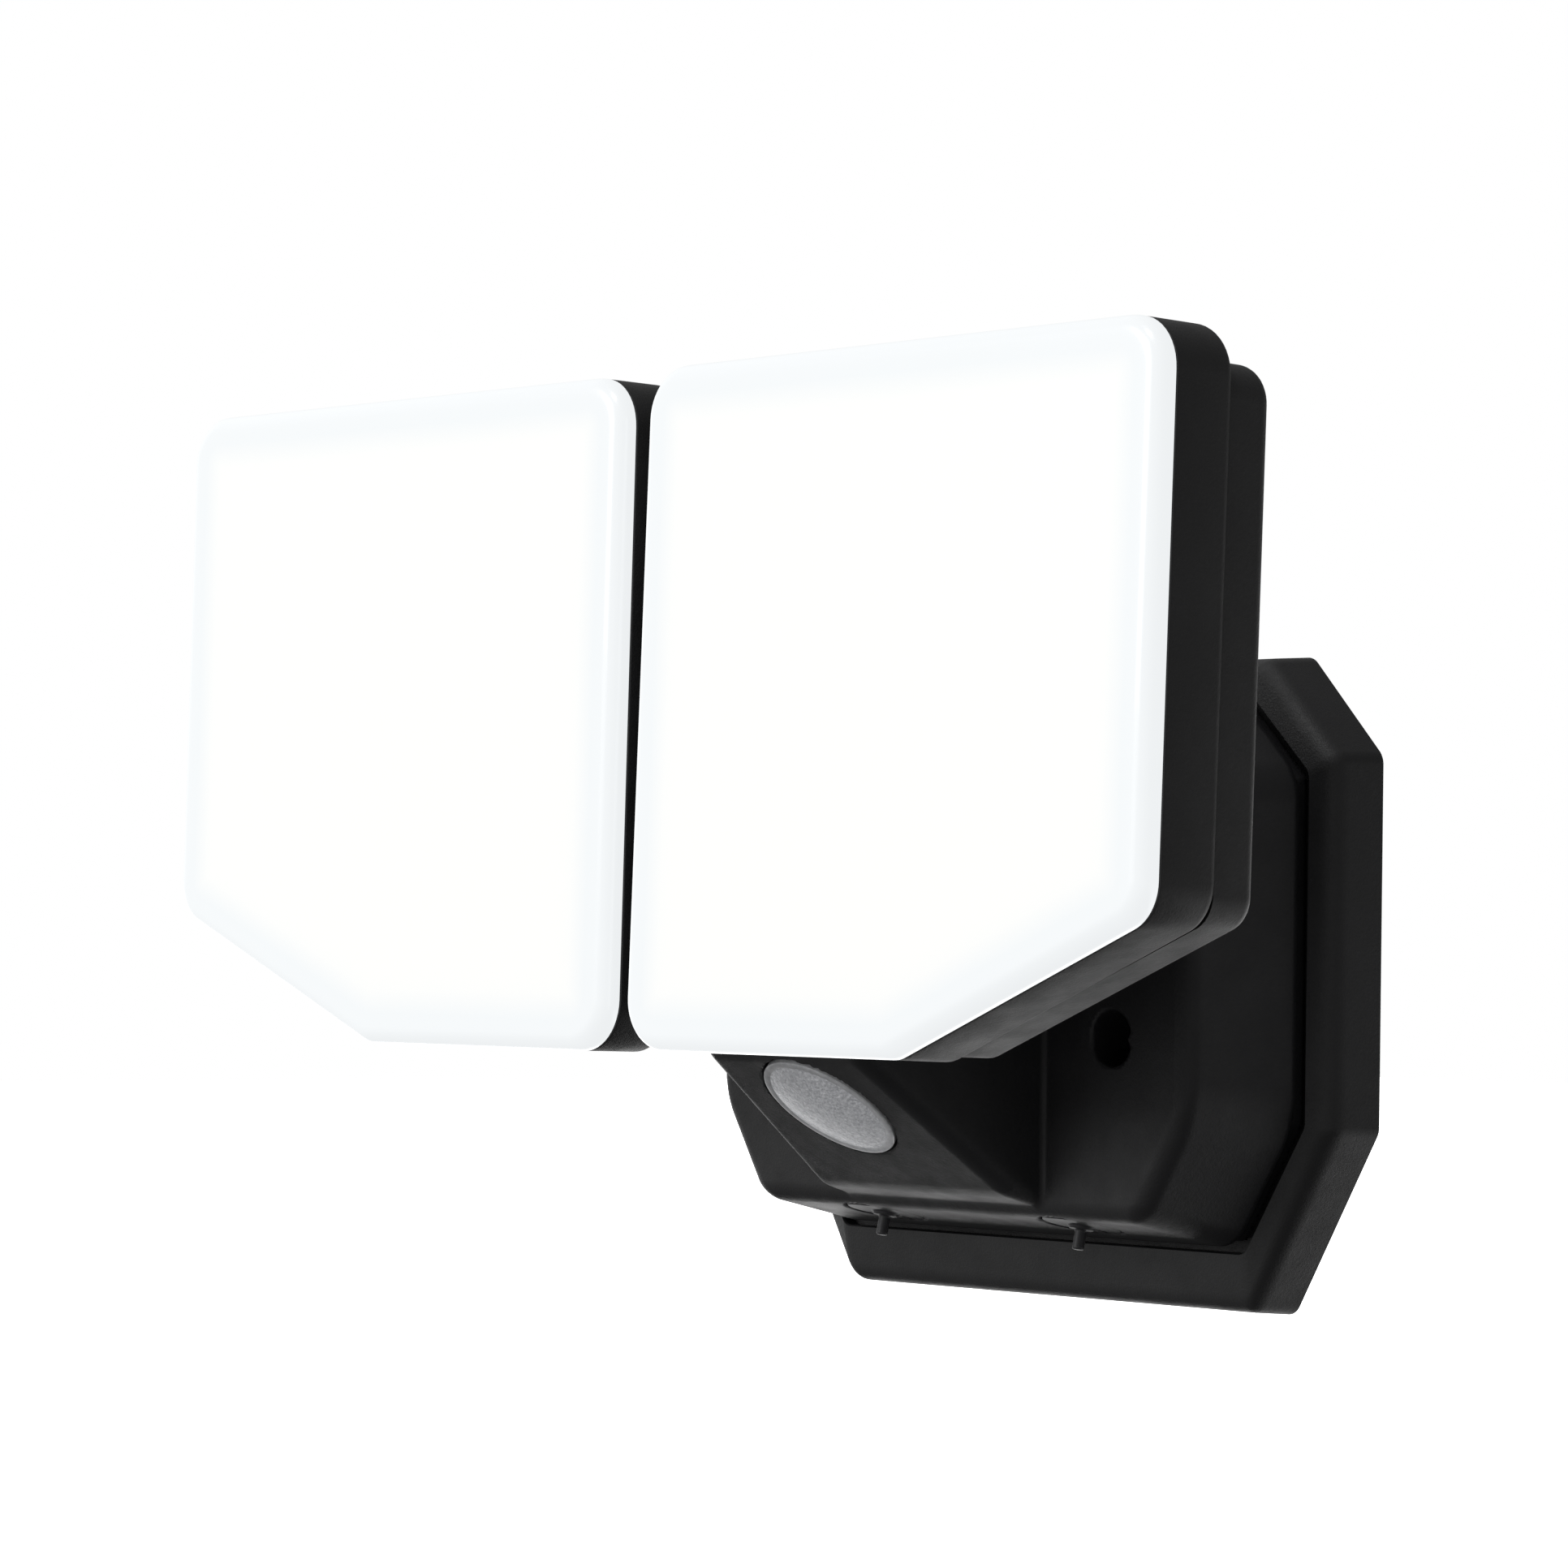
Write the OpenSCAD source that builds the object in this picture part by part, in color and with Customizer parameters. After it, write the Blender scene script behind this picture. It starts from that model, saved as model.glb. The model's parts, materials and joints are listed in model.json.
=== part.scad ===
// Twin-head wall floodlight with a motion sensor.
// Frame: X right, Y towards the wall, Z up. The wall is the plane Y = 0, the light faces -Y,
// and the origin lies midway between the two wall screws. Heights called *_h are measured
// up from the lower edge of the wall tray.

/* [Wall tray] */
// Width of the wall tray
tray_w = 133; // [131:0.5:135]
// Height of the wall tray
tray_h = 103; // [102:0.5:105]
// Depth of the tray's side wall, from the wall to the bevel
tray_side_d = 10; // [9.5:0.1:10.4]
// Distance between the two wall screws
screw_spacing = 80; // [78:0.5:81]
// Diameter of the wall screw holes
screw_hole_d = 4.4; // [4:0.1:5]
// Diameter of the screwdriver tunnels through the front shell
tunnel_d = 8.8; // [8:0.1:9.2]

/* [Front shell] */
// Depth from the wall to the shell's flat front
shell_front_d = 32.3; // [32:0.1:33]
// Wall thickness of the moulded shells
wall = 2.4; // [2:0.1:2.6]
// Angle of the sensor face below the horizontal view
sensor_angle = 52.6; // [51:0.1:54]
// Diameter of the sensor lens
lens_d = 23.4; // [22.5:0.1:23.6]

/* [Lamp heads] */
// Width of one lamp head
head_w = 114; // [113:0.2:115]
// Height of one lamp head
head_h = 104; // [100:0.5:105]
// Gap between the two heads
head_gap = 8.6; // [8:0.1:9.6]
// Width of the slanted lower corner
chamfer_w = 52.6; // [50:0.2:54]
// Height of the slanted lower corner
chamfer_h = 20.9; // [18:0.1:22]
// Radius of the heads' square corners
head_r = 8; // [7:0.5:9]
// Depth of the opal diffuser's cap
cap_d = 3.6; // [3.2:0.1:4]

/* [Pivots] */
// Distance of each pan axis from the centre plane
pan_x = 40; // [39.5:0.1:40.5]
// Depth of the pan axes in front of the wall
pan_d = 46; // [45.8:0.1:46.2]
// Depth of the tilt axes in front of the wall
tilt_d = 65; // [64.8:0.1:65.2]
// Height of the pivots above the tray's lower edge
pivot_h = 70; // [69.5:0.1:70.5]
// Outward turn of the left head as drawn
rest_pan_left = -2.1; // [-2.2:0.1:2]
// Outward turn of the right head as drawn
rest_pan_right = 0.6; // [-1:0.1:2]
// Upward tilt of the left head as drawn
rest_tilt_left = 1; // [0:0.1:2]
// Upward tilt of the right head as drawn
rest_tilt_right = 1.7; // [0:0.1:2]
// Radius of the pivot barrels and their ears
barrel_r = 9; // [8.6:0.1:9.1]
// Diameter of the pivot bolts
bolt_d = 5; // [4.8:0.1:5.1]

/* [Controls] */
// Distance of each dial from the centre plane
dial_x = 24; // [23.5:0.1:25]
// Diameter of the dials
dial_d = 12.8; // [12:0.1:13]

/* [Hidden] */
$fn = 48;
eps = 0.01;
run_fit = 0.05;              // radial clearance of a turning shaft
face_gap = 0.1;              // gap between flat faces that slide on each other

// Colours
black = "#242526";
dark = "#303132";
opal = "#f4f6f6";
frosted = "#9a9c9e";
steel = "#b8bbc0";
zinc = "#8c9096";
pcb_green = "#2f6b3c";
pcb_white = "#e9eae6";
rubber = "#1c1c1c";

// Wall screws and origin
screw_h = 43;

// Tray outline
tray_lo_h = 29;
tray_hi_h = 87.2;
tray_bottom_w = tray_w - 35.6;
tray_top_w = tray_w - 31;
tray_draft = 0.6;
tray_front_d = tray_side_d + 1.6;
bevel_inset = 5;
rebate_d = tray_front_d - 2.4;
tray_back = 2.6;
tray_corner_r = 3;
grommet_h = 23.6;
grommet_r = 7;

// Shell outlines: rear edge, front face, and the spigot that enters the tray
rear_half = tray_w / 2 - 6;
rear_lo_h = 10.8;
rear_hi_h = tray_h - 6;
rear_side_lo_h = 30.2;
rear_side_hi_h = 84;
rear_bottom_half = 47.9;
rear_top_half = 46.7;
rear_d = 12.6;
front_half = rear_half - 3.5;
front_lo_h = 15;
front_hi_h = rear_hi_h - 4.2;
front_side_lo_h = 32.2;
front_side_hi_h = 82.2;
front_bottom_half = 46.3;
front_top_half = 45.8;
shell_edge_r = 2.8;
spigot_inset = 1.2;
spigot_d = rebate_d + 0.4;

// Sensor nose
sensor_d = 55.5;
sensor_h = 31.3;
nose_tip_d = 67;
nose_root_half = 24.8;
nose_taper = 0.17;
nose_root_d = shell_front_d - 6;
nose_top_h = 64;
nose_bottom_d = 38.2;
nose_foot_drop = 5;
nose_tip_rise = 5;
face_slope = 1 / tan(sensor_angle);
nose_bottom_h = sensor_h - face_slope * (sensor_d - nose_bottom_d);
nose_tip_h = sensor_h + face_slope * (nose_tip_d - sensor_d);
lens_seat_d = lens_d + 0.8;
lens_seat_depth = 2.2;
lens_dome_r = 42;
lens_rim_t = 1.4;
retainer_z = -6.6;
sensor_board_z = -14.6;

// Dials on the sloping underside
dial_depth = 23.4;
slope = atan2(front_lo_h - rear_lo_h, shell_front_d - rear_d);
dial_h = rear_lo_h + (dial_depth - rear_d) * tan(slope);
dish_d = dial_d + 1;
dish_depth = 1.9;
dial_t = 1.5;
dial_shaft_d = 3;
dial_shaft_l = 8.5;
stem_d = 1.9;
stem_l = 3.7;

// Screws that hold the shell onto the tray
shell_screw_x = 49;
shell_screw_h = [30, 78];
shell_screw_d = 3;
shell_boss_d = 7.6;

// Pivots
ear_t = 4.6;
washer_t = 0.8;
barrel_half = 9.2;
washer_in = barrel_half + face_gap;
ear_in = washer_in + washer_t + face_gap;
ear_out = ear_in + ear_t;
nut_t = 4;
bolt_head_t = 3.4;
nut_flats = 8;
bolt_head_d = 9;

// Heads
head_in = head_gap / 2;
head_out = head_in + head_w;
head_lo_h = 39.4;
head_hi_h = head_lo_h + head_h;
rim_d = 96;
housing_back_d = 85;
cover_back_d = 76.6;
cover_top_drop = 5;
cover_side_inset = 1;
cover_bottom_rise = 0.8;
cover_radius_drop = 2;
chamfer_r = 7;
board_t = 1.6;
seal_t = 1.2;
lip_depth = 4;
lip_inset = 2.8;
lip_t = 1.6;
led_rows = 6;
led_cols = 7;
led_pitch_x = 14;
led_pitch_h = 14;
head_screw_inset = 13;
wire_hole_x = pan_x + 26;
wire_hole_h = 92;

// ---------------------------------------------------------------- outline helpers

function unit(v) = v / norm(v);
function at(list, i) = list[(i + len(list)) % len(list)];

// Points of the arc of radius r that rounds the corner b between the edges to a and c
function corner_arc(a, b, c, r, n) =
    let (
        u = unit(a - b),
        w = unit(c - b),
        half = acos(u * w) / 2,
        centre = b + unit(u + w) * r / sin(half),
        start = b + u * r / tan(half) - centre,
        finish = b + w * r / tan(half) - centre,
        a0 = atan2(start.y, start.x),
        turn = (atan2(finish.y, finish.x) - a0 + 540) % 360 - 180
    )
    [for (i = [0:n]) centre + r * [cos(a0 + turn * i / n), sin(a0 + turn * i / n)]];

// A convex outline with every corner rounded by its own radius
function rounded(points, radii, n = 6) =
    [for (i = [0:len(points) - 1])
        each corner_arc(at(points, i - 1), points[i], at(points, i + 1), at(radii, i), n)];

// A convex outline moved inwards by d, or outwards when d is negative
function inset(points, d) =
    [for (i = [0:len(points) - 1])
        let (
            u = unit(at(points, i - 1) - points[i]),
            w = unit(at(points, i + 1) - points[i])
        )
        points[i] + (u + w) * d / sin(acos(u * w))];

// Eight-sided outline, symmetric about the centre plane
function octagon(half, lo, hi, side_lo, side_hi, bottom_half, top_half) = [
    [-bottom_half, lo], [bottom_half, lo], [half, side_lo], [half, side_hi],
    [top_half, hi], [-top_half, hi], [-half, side_hi], [-half, side_lo]
];

tray_outline = octagon(tray_w / 2, 0, tray_h, tray_lo_h, tray_hi_h, tray_bottom_w / 2, tray_top_w / 2);
rear_outline = octagon(rear_half, rear_lo_h, rear_hi_h, rear_side_lo_h, rear_side_hi_h,
    rear_bottom_half, rear_top_half);
front_outline = octagon(front_half, front_lo_h, front_hi_h, front_side_lo_h, front_side_hi_h,
    front_bottom_half, front_top_half);
head_outline = [
    [head_in, head_lo_h], [head_out - chamfer_w, head_lo_h], [head_out, head_lo_h + chamfer_h],
    [head_out, head_hi_h], [head_in, head_hi_h]
];
head_radii = [head_r, chamfer_r, chamfer_r, head_r, head_r];
cover_outline = [
    [head_in + cover_side_inset, head_lo_h + cover_bottom_rise],
    [head_out - chamfer_w, head_lo_h + cover_bottom_rise],
    [head_out - cover_side_inset, head_lo_h + chamfer_h],
    [head_out - cover_side_inset, head_hi_h - cover_top_drop],
    [head_in + cover_side_inset, head_hi_h - cover_top_drop]
];

function radii_less(d) = [for (r = head_radii) max(r - d, 0.6)];
function head_shape(d) = rounded(inset(head_outline, d), radii_less(d));
function cover_shape(d) = rounded(inset(cover_outline, d), radii_less(d + cover_radius_drop));

// ---------------------------------------------------------------- placing helpers

// Everything is drawn from the tray's lower edge and lowered to the wall screws' height
module lowered() {
    translate([0, 0, -screw_h]) children();
}

// An upright slab between two depths in front of the wall
module slab(near, far) {
    translate([0, -near, 0]) rotate([90, 0, 0]) linear_extrude(far - near) children();
}

// A round bar along the depth direction
module rod(x, h, near, far, d) {
    translate([x, -near, h]) rotate([90, 0, 0]) cylinder(h = far - near, d = d);
}

// Same piece on the right as drawn, or mirrored to the left
module on_side(right) {
    mirror([right ? 0 : 1, 0, 0]) children();
}

// A knuckle as drawn, turned about its upright pan axis
module on_knuckle(right) {
    turn = right ? rest_pan_right : rest_pan_left;
    on_side(right) translate([pan_x, -pan_d, 0]) rotate([0, 0, turn]) translate([-pan_x, pan_d, 0]) children();
}

// A head as drawn, turned with its knuckle and tilted about its level axis
module on_head(right) {
    tilt = right ? rest_tilt_right : rest_tilt_left;
    on_knuckle(right) translate([0, -tilt_d, pivot_h]) rotate([-tilt, 0, 0]) translate([0, tilt_d, -pivot_h])
        children();
}

// Frame on the sensor face: origin at the lens centre, Z out of the face
module on_sensor_face() {
    translate([0, -sensor_d, sensor_h]) rotate([90 + sensor_angle, 0, 0]) children();
}

// Frame on the sloping underside at a dial: Z points down out of the shell
module on_dial(x) {
    translate([x, -dial_depth, dial_h]) rotate([180 - slope, 0, 0]) children();
}

module hex(flats, t) {
    cylinder(h = t, d = flats / cos(30), $fn = 6);
}

// ---------------------------------------------------------------- wall tray

module tray_outer() {
    hull() {
        slab(0, 1) polygon(rounded(tray_outline, [tray_corner_r]));
        slab(tray_side_d - 0.5, tray_side_d) polygon(rounded(inset(tray_outline, tray_draft), [tray_corner_r]));
        slab(tray_front_d - 0.1, tray_front_d)
            polygon(rounded(inset(tray_outline, bevel_inset), [tray_corner_r]));
    }
}

module tray_screw_seat(x, h) {
    rod(x, h, -eps, tray_back + eps, shell_screw_d + 0.4);
    rod(x, h, -eps, 1.6, 6.2);
}

module wall_tray() {
    color(black) lowered() difference() {
        tray_outer();
        slab(tray_back, tray_front_d + 1) polygon(rounded(inset(rear_outline, spigot_inset + 2.6), [2]));
        slab(rebate_d, tray_front_d + 1) polygon(rounded(inset(rear_outline, -1), [2]));
        slab(-eps, 1.2) difference() {
            polygon(inset(tray_outline, 3));
            polygon(inset(tray_outline, 6));
        }
        for (side = [-1, 1]) {
            rod(side * screw_spacing / 2, screw_h, -eps, tray_back + 1, screw_hole_d);
            for (h = shell_screw_h) tray_screw_seat(side * shell_screw_x, h);
        }
        rod(0, grommet_h, -eps, tray_back + 1, 2 * grommet_r);
    }
}

module wall_gasket() {
    color(rubber) lowered() slab(0, 1.2) difference() {
        polygon(inset(tray_outline, 3));
        polygon(inset(tray_outline, 6));
    }
}

// Closed rubber grommet that the installer pierces for the supply cable
module cable_grommet() {
    flange_r = grommet_r + 1.6;
    color(rubber) lowered() translate([0, 0, grommet_h]) rotate([90, 0, 0]) rotate_extrude()
        polygon([[0, 0.6], [4, 0.6], [5.2, 0], [grommet_r, 0], [grommet_r, tray_back], [flange_r, tray_back],
            [flange_r, tray_back + 1.4], [6, tray_back + 1.4], [4.4, tray_back + 3], [3.2, tray_back + 3],
            [3.2, 1.6], [0, 1.6]]);
}

// ---------------------------------------------------------------- front shell

module shell_body(d, r) {
    hull() {
        slab(rear_d, rear_d + 0.4) polygon(rounded(inset(rear_outline, d), [max(2 - d, 0.4)]));
        for (p = inset(front_outline, d + r))
            translate([p.x, -(shell_front_d - d - r), p.y]) sphere(r = r, $fn = 32);
    }
}

// Upright cut through the nose at a depth, between two heights, moved inwards by d
module nose_section(depth, lo, hi, d) {
    half = nose_root_half - (depth - shell_front_d) * nose_taper - d;
    slab(depth - 0.1, depth) polygon([[-half, lo], [half, lo], [half, hi], [-half, hi]]);
}

// The nose whose slanted underside carries the lens
module nose_body(d) {
    hull() {
        nose_section(nose_root_d, nose_bottom_h + d - nose_foot_drop, nose_top_h - d, d);
        nose_section(nose_bottom_d - d, nose_bottom_h + d, nose_bottom_h + d + 2, d);
        nose_section(nose_tip_d - d, nose_tip_h + d, nose_tip_h + nose_tip_rise - d / 2, d);
    }
}

// Two flat ears with a round end that hold the pan bolt
module pan_ears() {
    for (s = [-1, 1]) translate([pan_x, -pan_d, pivot_h + s * (ear_in + ear_t / 2)])
        difference() {
            union() {
                cylinder(h = ear_t, r = barrel_r, center = true);
                translate([-barrel_r, 0, -ear_t / 2])
                    cube([2 * barrel_r, pan_d - shell_front_d + 1, ear_t]);
            }
            cylinder(h = ear_t + 1, r = bolt_d / 2 + run_fit, center = true);
        }
}

module tunnel_wall(x) {
    rod(x, screw_h, tray_back + 0.3, shell_front_d - 1, tunnel_d + 3);
}

module tunnel_bore(x) {
    difference() {
        rod(x, screw_h, tray_back, shell_front_d + 2, tunnel_d);
        rod(x + sign(x) * tunnel_d / 2, screw_h, tray_back, shell_front_d + 2, 1.8);
    }
}

module front_shell() {
    color(dark) lowered() difference() {
        union() {
            difference() {
                union() {
                    shell_body(0, shell_edge_r);
                    nose_body(0);
                    slab(spigot_d, rear_d + 0.4) polygon(rounded(inset(rear_outline, spigot_inset), [1.5]));
                }
                shell_body(wall, 1.2);
                slab(spigot_d - 1, rear_d + 1) polygon(rounded(inset(rear_outline, wall + 0.6), [1]));
                nose_body(wall);
            }
            for (side = [0, 1]) on_side(side == 1) {
                pan_ears();
                tunnel_wall(screw_spacing / 2);
                for (h = shell_screw_h) rod(shell_screw_x, h, tray_back + 0.2, shell_front_d - 1.2, shell_boss_d);
                on_dial(dial_x) translate([0, 0, -4.4]) cylinder(h = 3.4, d = dish_d + 2);
            }
            on_sensor_face() translate([0, 0, -4.6]) cylinder(h = 3.6, d = lens_seat_d + 3);
        }
        for (side = [0, 1]) on_side(side == 1) {
            tunnel_bore(screw_spacing / 2);
            for (h = shell_screw_h) rod(shell_screw_x, h, tray_back, 20, shell_screw_d - 0.4);
            on_dial(dial_x) {
                translate([0, 0, -dish_depth]) cylinder(h = dish_depth + 2, d = dish_d);
                translate([0, 0, -5]) cylinder(h = 5, d = dial_shaft_d + 2 * run_fit);
            }
        }
        on_sensor_face() {
            translate([0, 0, -lens_seat_depth]) cylinder(h = lens_seat_depth + 2, d = lens_seat_d);
            translate([0, 0, -6]) cylinder(h = 6, d = lens_d - 3);
        }
    }
}

module shell_seal() {
    color(rubber) lowered() slab(rebate_d, spigot_d) difference() {
        polygon(inset(rear_outline, spigot_inset + 0.2));
        polygon(inset(rear_outline, spigot_inset + 1.7));
    }
}

// Screws driven from the back of the tray into the shell
module shell_screws() {
    color(steel) lowered() for (side = [-1, 1]) for (h = shell_screw_h) {
        rod(side * shell_screw_x, h, 0.2, 1.6, 5.6);
        rod(side * shell_screw_x, h, 1.6, 12, shell_screw_d - 0.4);
    }
}

// ---------------------------------------------------------------- sensor

module pir_lens() {
    color(frosted) lowered() on_sensor_face() {
        translate([0, 0, -lens_seat_depth]) difference() {
            union() {
                cylinder(h = lens_seat_depth + 0.3, d = lens_d);
                intersection() {
                    translate([0, 0, lens_seat_depth + 1.6 - lens_dome_r]) sphere(r = lens_dome_r, $fn = 96);
                    cylinder(h = 12, d = lens_d - 2 * lens_rim_t);
                }
            }
            translate([0, 0, -eps]) cylinder(h = 1.6, d = lens_d - 4);
        }
    }
}

module lens_retainer() {
    color(dark) lowered() on_sensor_face() translate([0, 0, retainer_z]) difference() {
        cylinder(h = 2, d = lens_seat_d - 0.6);
        translate([0, 0, -1]) cylinder(h = 4, d = lens_d - 5);
    }
}

// Pyroelectric sensor in its can, with the window towards the lens
module pir_sensor() {
    color(steel) lowered() on_sensor_face() translate([0, 0, sensor_board_z + board_t]) {
        cylinder(h = 0.8, d = 9.2);
        translate([0, 0, 0.8]) cylinder(h = 3.4, d = 8.2);
    }
}

module sensor_board() {
    color(pcb_green) lowered() on_sensor_face() translate([-12, -9, sensor_board_z]) cube([24, 16, board_t]);
}

// ---------------------------------------------------------------- electronics in the base

board_half = 31;
board_lo_h = 44;
board_hi_h = 92;
board_d = 8;

module driver_board() {
    color(pcb_green) lowered() difference() {
        slab(board_d, board_d + board_t)
            polygon([[-board_half, board_lo_h], [board_half, board_lo_h],
                [board_half, board_hi_h], [-board_half, board_hi_h]]);
        for (x = [-1, 1]) for (h = [board_lo_h + 4, board_hi_h - 4])
            rod(x * (board_half - 4), h, board_d - 1, board_d + 3, 3.2);
    }
}

// Four pillars with a pin that hold the board off the tray
module driver_posts() {
    color(dark) lowered() for (x = [-1, 1]) for (h = [board_lo_h + 4, board_hi_h - 4]) {
        rod(x * (board_half - 4), h, tray_back, board_d, 6);
        rod(x * (board_half - 4), h, board_d, board_d + 2.6, 3);
    }
}

module transformer() {
    color("#c9a227") lowered() {
        slab(board_d + board_t, board_d + board_t + 14) polygon([[-22, 60], [-2, 60], [-2, 78], [-22, 78]]);
        slab(board_d + board_t + 14, board_d + board_t + 16) polygon([[-20, 64], [-4, 64], [-4, 74], [-20, 74]]);
    }
}

module capacitors() {
    color("#2c3e70") lowered() for (p = [[8, 80, 10], [20, 80, 8], [-19, 53, 8]])
        rod(p.x, p.y, board_d + board_t, board_d + board_t + 14, p.z);
}

module relay() {
    color("#2a5f9e") lowered() slab(board_d + board_t, board_d + board_t + 15)
        polygon([[4, 48], [19, 48], [19, 67], [4, 67]]);
}

// Three-pole terminal block for the supply wires
module terminal_block() {
    color(pcb_white) lowered() difference() {
        slab(tray_back, tray_back + 14) polygon([[-16, 32.6], [16, 32.6], [16, 42], [-16, 42]]);
        for (x = [-10, 0, 10]) {
            translate([x, -(tray_back + 5), 30]) cylinder(h = 14, d = 4.4);
            rod(x, 37.3, tray_back + 7.5, tray_back + 15, 5);
        }
    }
}

module terminal_screws() {
    color(zinc) lowered() for (x = [-10, 0, 10]) rod(x, 37.3, tray_back + 7.5, tray_back + 12, 4.6);
}

// ---------------------------------------------------------------- dials

module dial_board() {
    color(pcb_green) lowered() on_dial(0) translate([-dial_x - 8, -5, -dial_shaft_l - 3.6]) difference() {
        cube([2 * dial_x + 16, 10, 1.2]);
        for (x = [8, 2 * dial_x + 8]) translate([x, 5, -1]) cylinder(h = 4, d = dial_shaft_d + 0.6);
    }
}

// Body of the variable resistor that a dial's shaft turns in
module dial_pot(x) {
    color("#3a6ea5") lowered() on_dial(x) translate([0, 0, -dial_shaft_l - 2.4]) difference() {
        translate([-4.6, -4.6, 0]) cube([9.2, 9.2, 4.8]);
        translate([0, 0, 0.6]) cylinder(h = 5, d = dial_shaft_d + 2 * run_fit);
    }
}

module time_pot() {
    dial_pot(-dial_x);
}

module lux_pot() {
    dial_pot(dial_x);
}

// Dial: a disc sunk in its dish, a thin stem to turn it by, and a shaft into the shell
module dial(x) {
    color(dark) lowered() on_dial(x) difference() {
        union() {
            translate([0, 0, -dish_depth + 0.3]) cylinder(h = dial_t, d = dial_d);
            translate([0, 0, -dish_depth + 0.3 - dial_shaft_l]) cylinder(h = dial_shaft_l, d = dial_shaft_d);
            cylinder(h = stem_l - 0.4, d = stem_d);
            translate([0, 0, stem_l - 0.4]) cylinder(h = 0.4, d1 = stem_d, d2 = stem_d - 0.7, $fn = 32);
            translate([0, 0, -0.2]) cylinder(h = 0.7, d = 4.2);
        }
        translate([-0.4, dial_d / 2 - 3, -0.5]) cube([0.8, 4, 1]);
    }
}

module time_dial() {
    dial(-dial_x);
}

module lux_dial() {
    dial(dial_x);
}

// ---------------------------------------------------------------- pivots

module pan_bolt(right) {
    color(steel) lowered() on_side(right) translate([pan_x, -pan_d, pivot_h]) {
        translate([0, 0, -ear_out - nut_t - 1]) cylinder(h = 2 * ear_out + nut_t + 1, d = bolt_d);
        difference() {
            translate([0, 0, ear_out]) cylinder(h = bolt_head_t, d = bolt_head_d);
            translate([0, 0, ear_out + 1.4]) hex(4, 3);
        }
    }
}

module pan_nut(right) {
    color(zinc) lowered() on_side(right) translate([pan_x, -pan_d, pivot_h - ear_out - nut_t]) difference() {
        hex(nut_flats, nut_t);
        translate([0, 0, -1]) cylinder(h = nut_t + 2, d = bolt_d);
    }
}

module pan_bolt_left() {
    pan_bolt(false);
}

module pan_nut_left() {
    pan_nut(false);
}

module pan_bolt_right() {
    pan_bolt(true);
}

module pan_nut_right() {
    pan_nut(true);
}

// Cross-shaped knuckle: an upright barrel for the pan bolt and a level one for the tilt bolt
module knuckle(right) {
    color(black) lowered() on_knuckle(right) difference() {
        union() {
            translate([pan_x, -pan_d, pivot_h]) cylinder(h = 2 * barrel_half, r = barrel_r, center = true);
            translate([pan_x, -tilt_d, pivot_h]) rotate([0, 90, 0])
                cylinder(h = 2 * barrel_half, r = barrel_r, center = true);
            translate([pan_x - 6, -tilt_d, pivot_h - 6]) cube([12, tilt_d - pan_d, 12]);
        }
        translate([pan_x, -pan_d, pivot_h]) cylinder(h = 30, r = bolt_d / 2 + run_fit, center = true);
        translate([pan_x, -tilt_d, pivot_h]) rotate([0, 90, 0])
            cylinder(h = 30, r = bolt_d / 2 + run_fit, center = true);
    }
}

// Friction washers on both ends of both barrels
module washers(right) {
    color(zinc) lowered() on_knuckle(right) {
        for (s = [-1, 1]) {
            translate([pan_x, -pan_d, pivot_h + s * (washer_in + washer_t / 2)]) washer();
            translate([pan_x + s * (washer_in + washer_t / 2), -tilt_d, pivot_h]) rotate([0, 90, 0]) washer();
        }
    }
}

module washer() {
    difference() {
        cylinder(h = washer_t, r = barrel_r - 1, center = true);
        cylinder(h = washer_t + 1, r = bolt_d / 2 + run_fit, center = true);
    }
}

module knuckle_left() {
    knuckle(false);
}

module knuckle_right() {
    knuckle(true);
}

module washers_left() {
    washers(false);
}

module washers_right() {
    washers(true);
}

// ---------------------------------------------------------------- lamp heads

// Opal cap with a rounded edge and a lip that enters the housing
module diffuser(right) {
    color(opal) lowered() on_head(right) {
        difference() {
            hull() {
                slab(rim_d, rim_d + 1.2) polygon(head_shape(0));
                slab(rim_d + 1.2, rim_d + cap_d - 0.9) polygon(head_shape(0.8));
                slab(rim_d + cap_d - 0.2, rim_d + cap_d) polygon(head_shape(2.8));
            }
            slab(rim_d - 1, rim_d + cap_d - 2) polygon(head_shape(lip_inset + lip_t));
        }
        slab(rim_d - lip_depth, rim_d) difference() {
            polygon(head_shape(lip_inset));
            polygon(head_shape(lip_inset + lip_t));
        }
    }
}

module diffuser_seal(right) {
    color(rubber) lowered() on_head(right) slab(rim_d - lip_depth - seal_t, rim_d - lip_depth) difference() {
        polygon(head_shape(lip_inset));
        polygon(head_shape(lip_inset + lip_t));
    }
}

function head_screw_spots() = [
    [head_in + head_screw_inset, head_lo_h + head_screw_inset],
    [head_out - head_screw_inset - 8, head_lo_h + chamfer_h + 6],
    [head_out - head_screw_inset, head_hi_h - cover_top_drop - head_screw_inset],
    [head_in + head_screw_inset, head_hi_h - cover_top_drop - head_screw_inset]
];

// Front frame of the head, open to the front, with a floor that carries the LED board
module head_housing(right) {
    color(black) lowered() on_head(right) difference() {
        slab(housing_back_d, rim_d) polygon(head_shape(0));
        slab(housing_back_d + 4.8, rim_d + 1) polygon(head_shape(lip_inset));
        slab(housing_back_d + 2.4, rim_d + 1) polygon(head_shape(lip_inset + lip_t));
        rod(wire_hole_x, wire_hole_h, housing_back_d - 1, housing_back_d + 4, 8);
        for (p = head_screw_spots()) rod(p.x, p.y, housing_back_d - 1, housing_back_d + 2, 2.6);
    }
}

module led_board(right) {
    color(pcb_white) lowered() on_head(right) difference() {
        slab(housing_back_d + 2.4, housing_back_d + 2.4 + board_t) polygon(head_shape(6.5));
        rod(wire_hole_x, wire_hole_h, housing_back_d, housing_back_d + 6, 7);
    }
}

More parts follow.
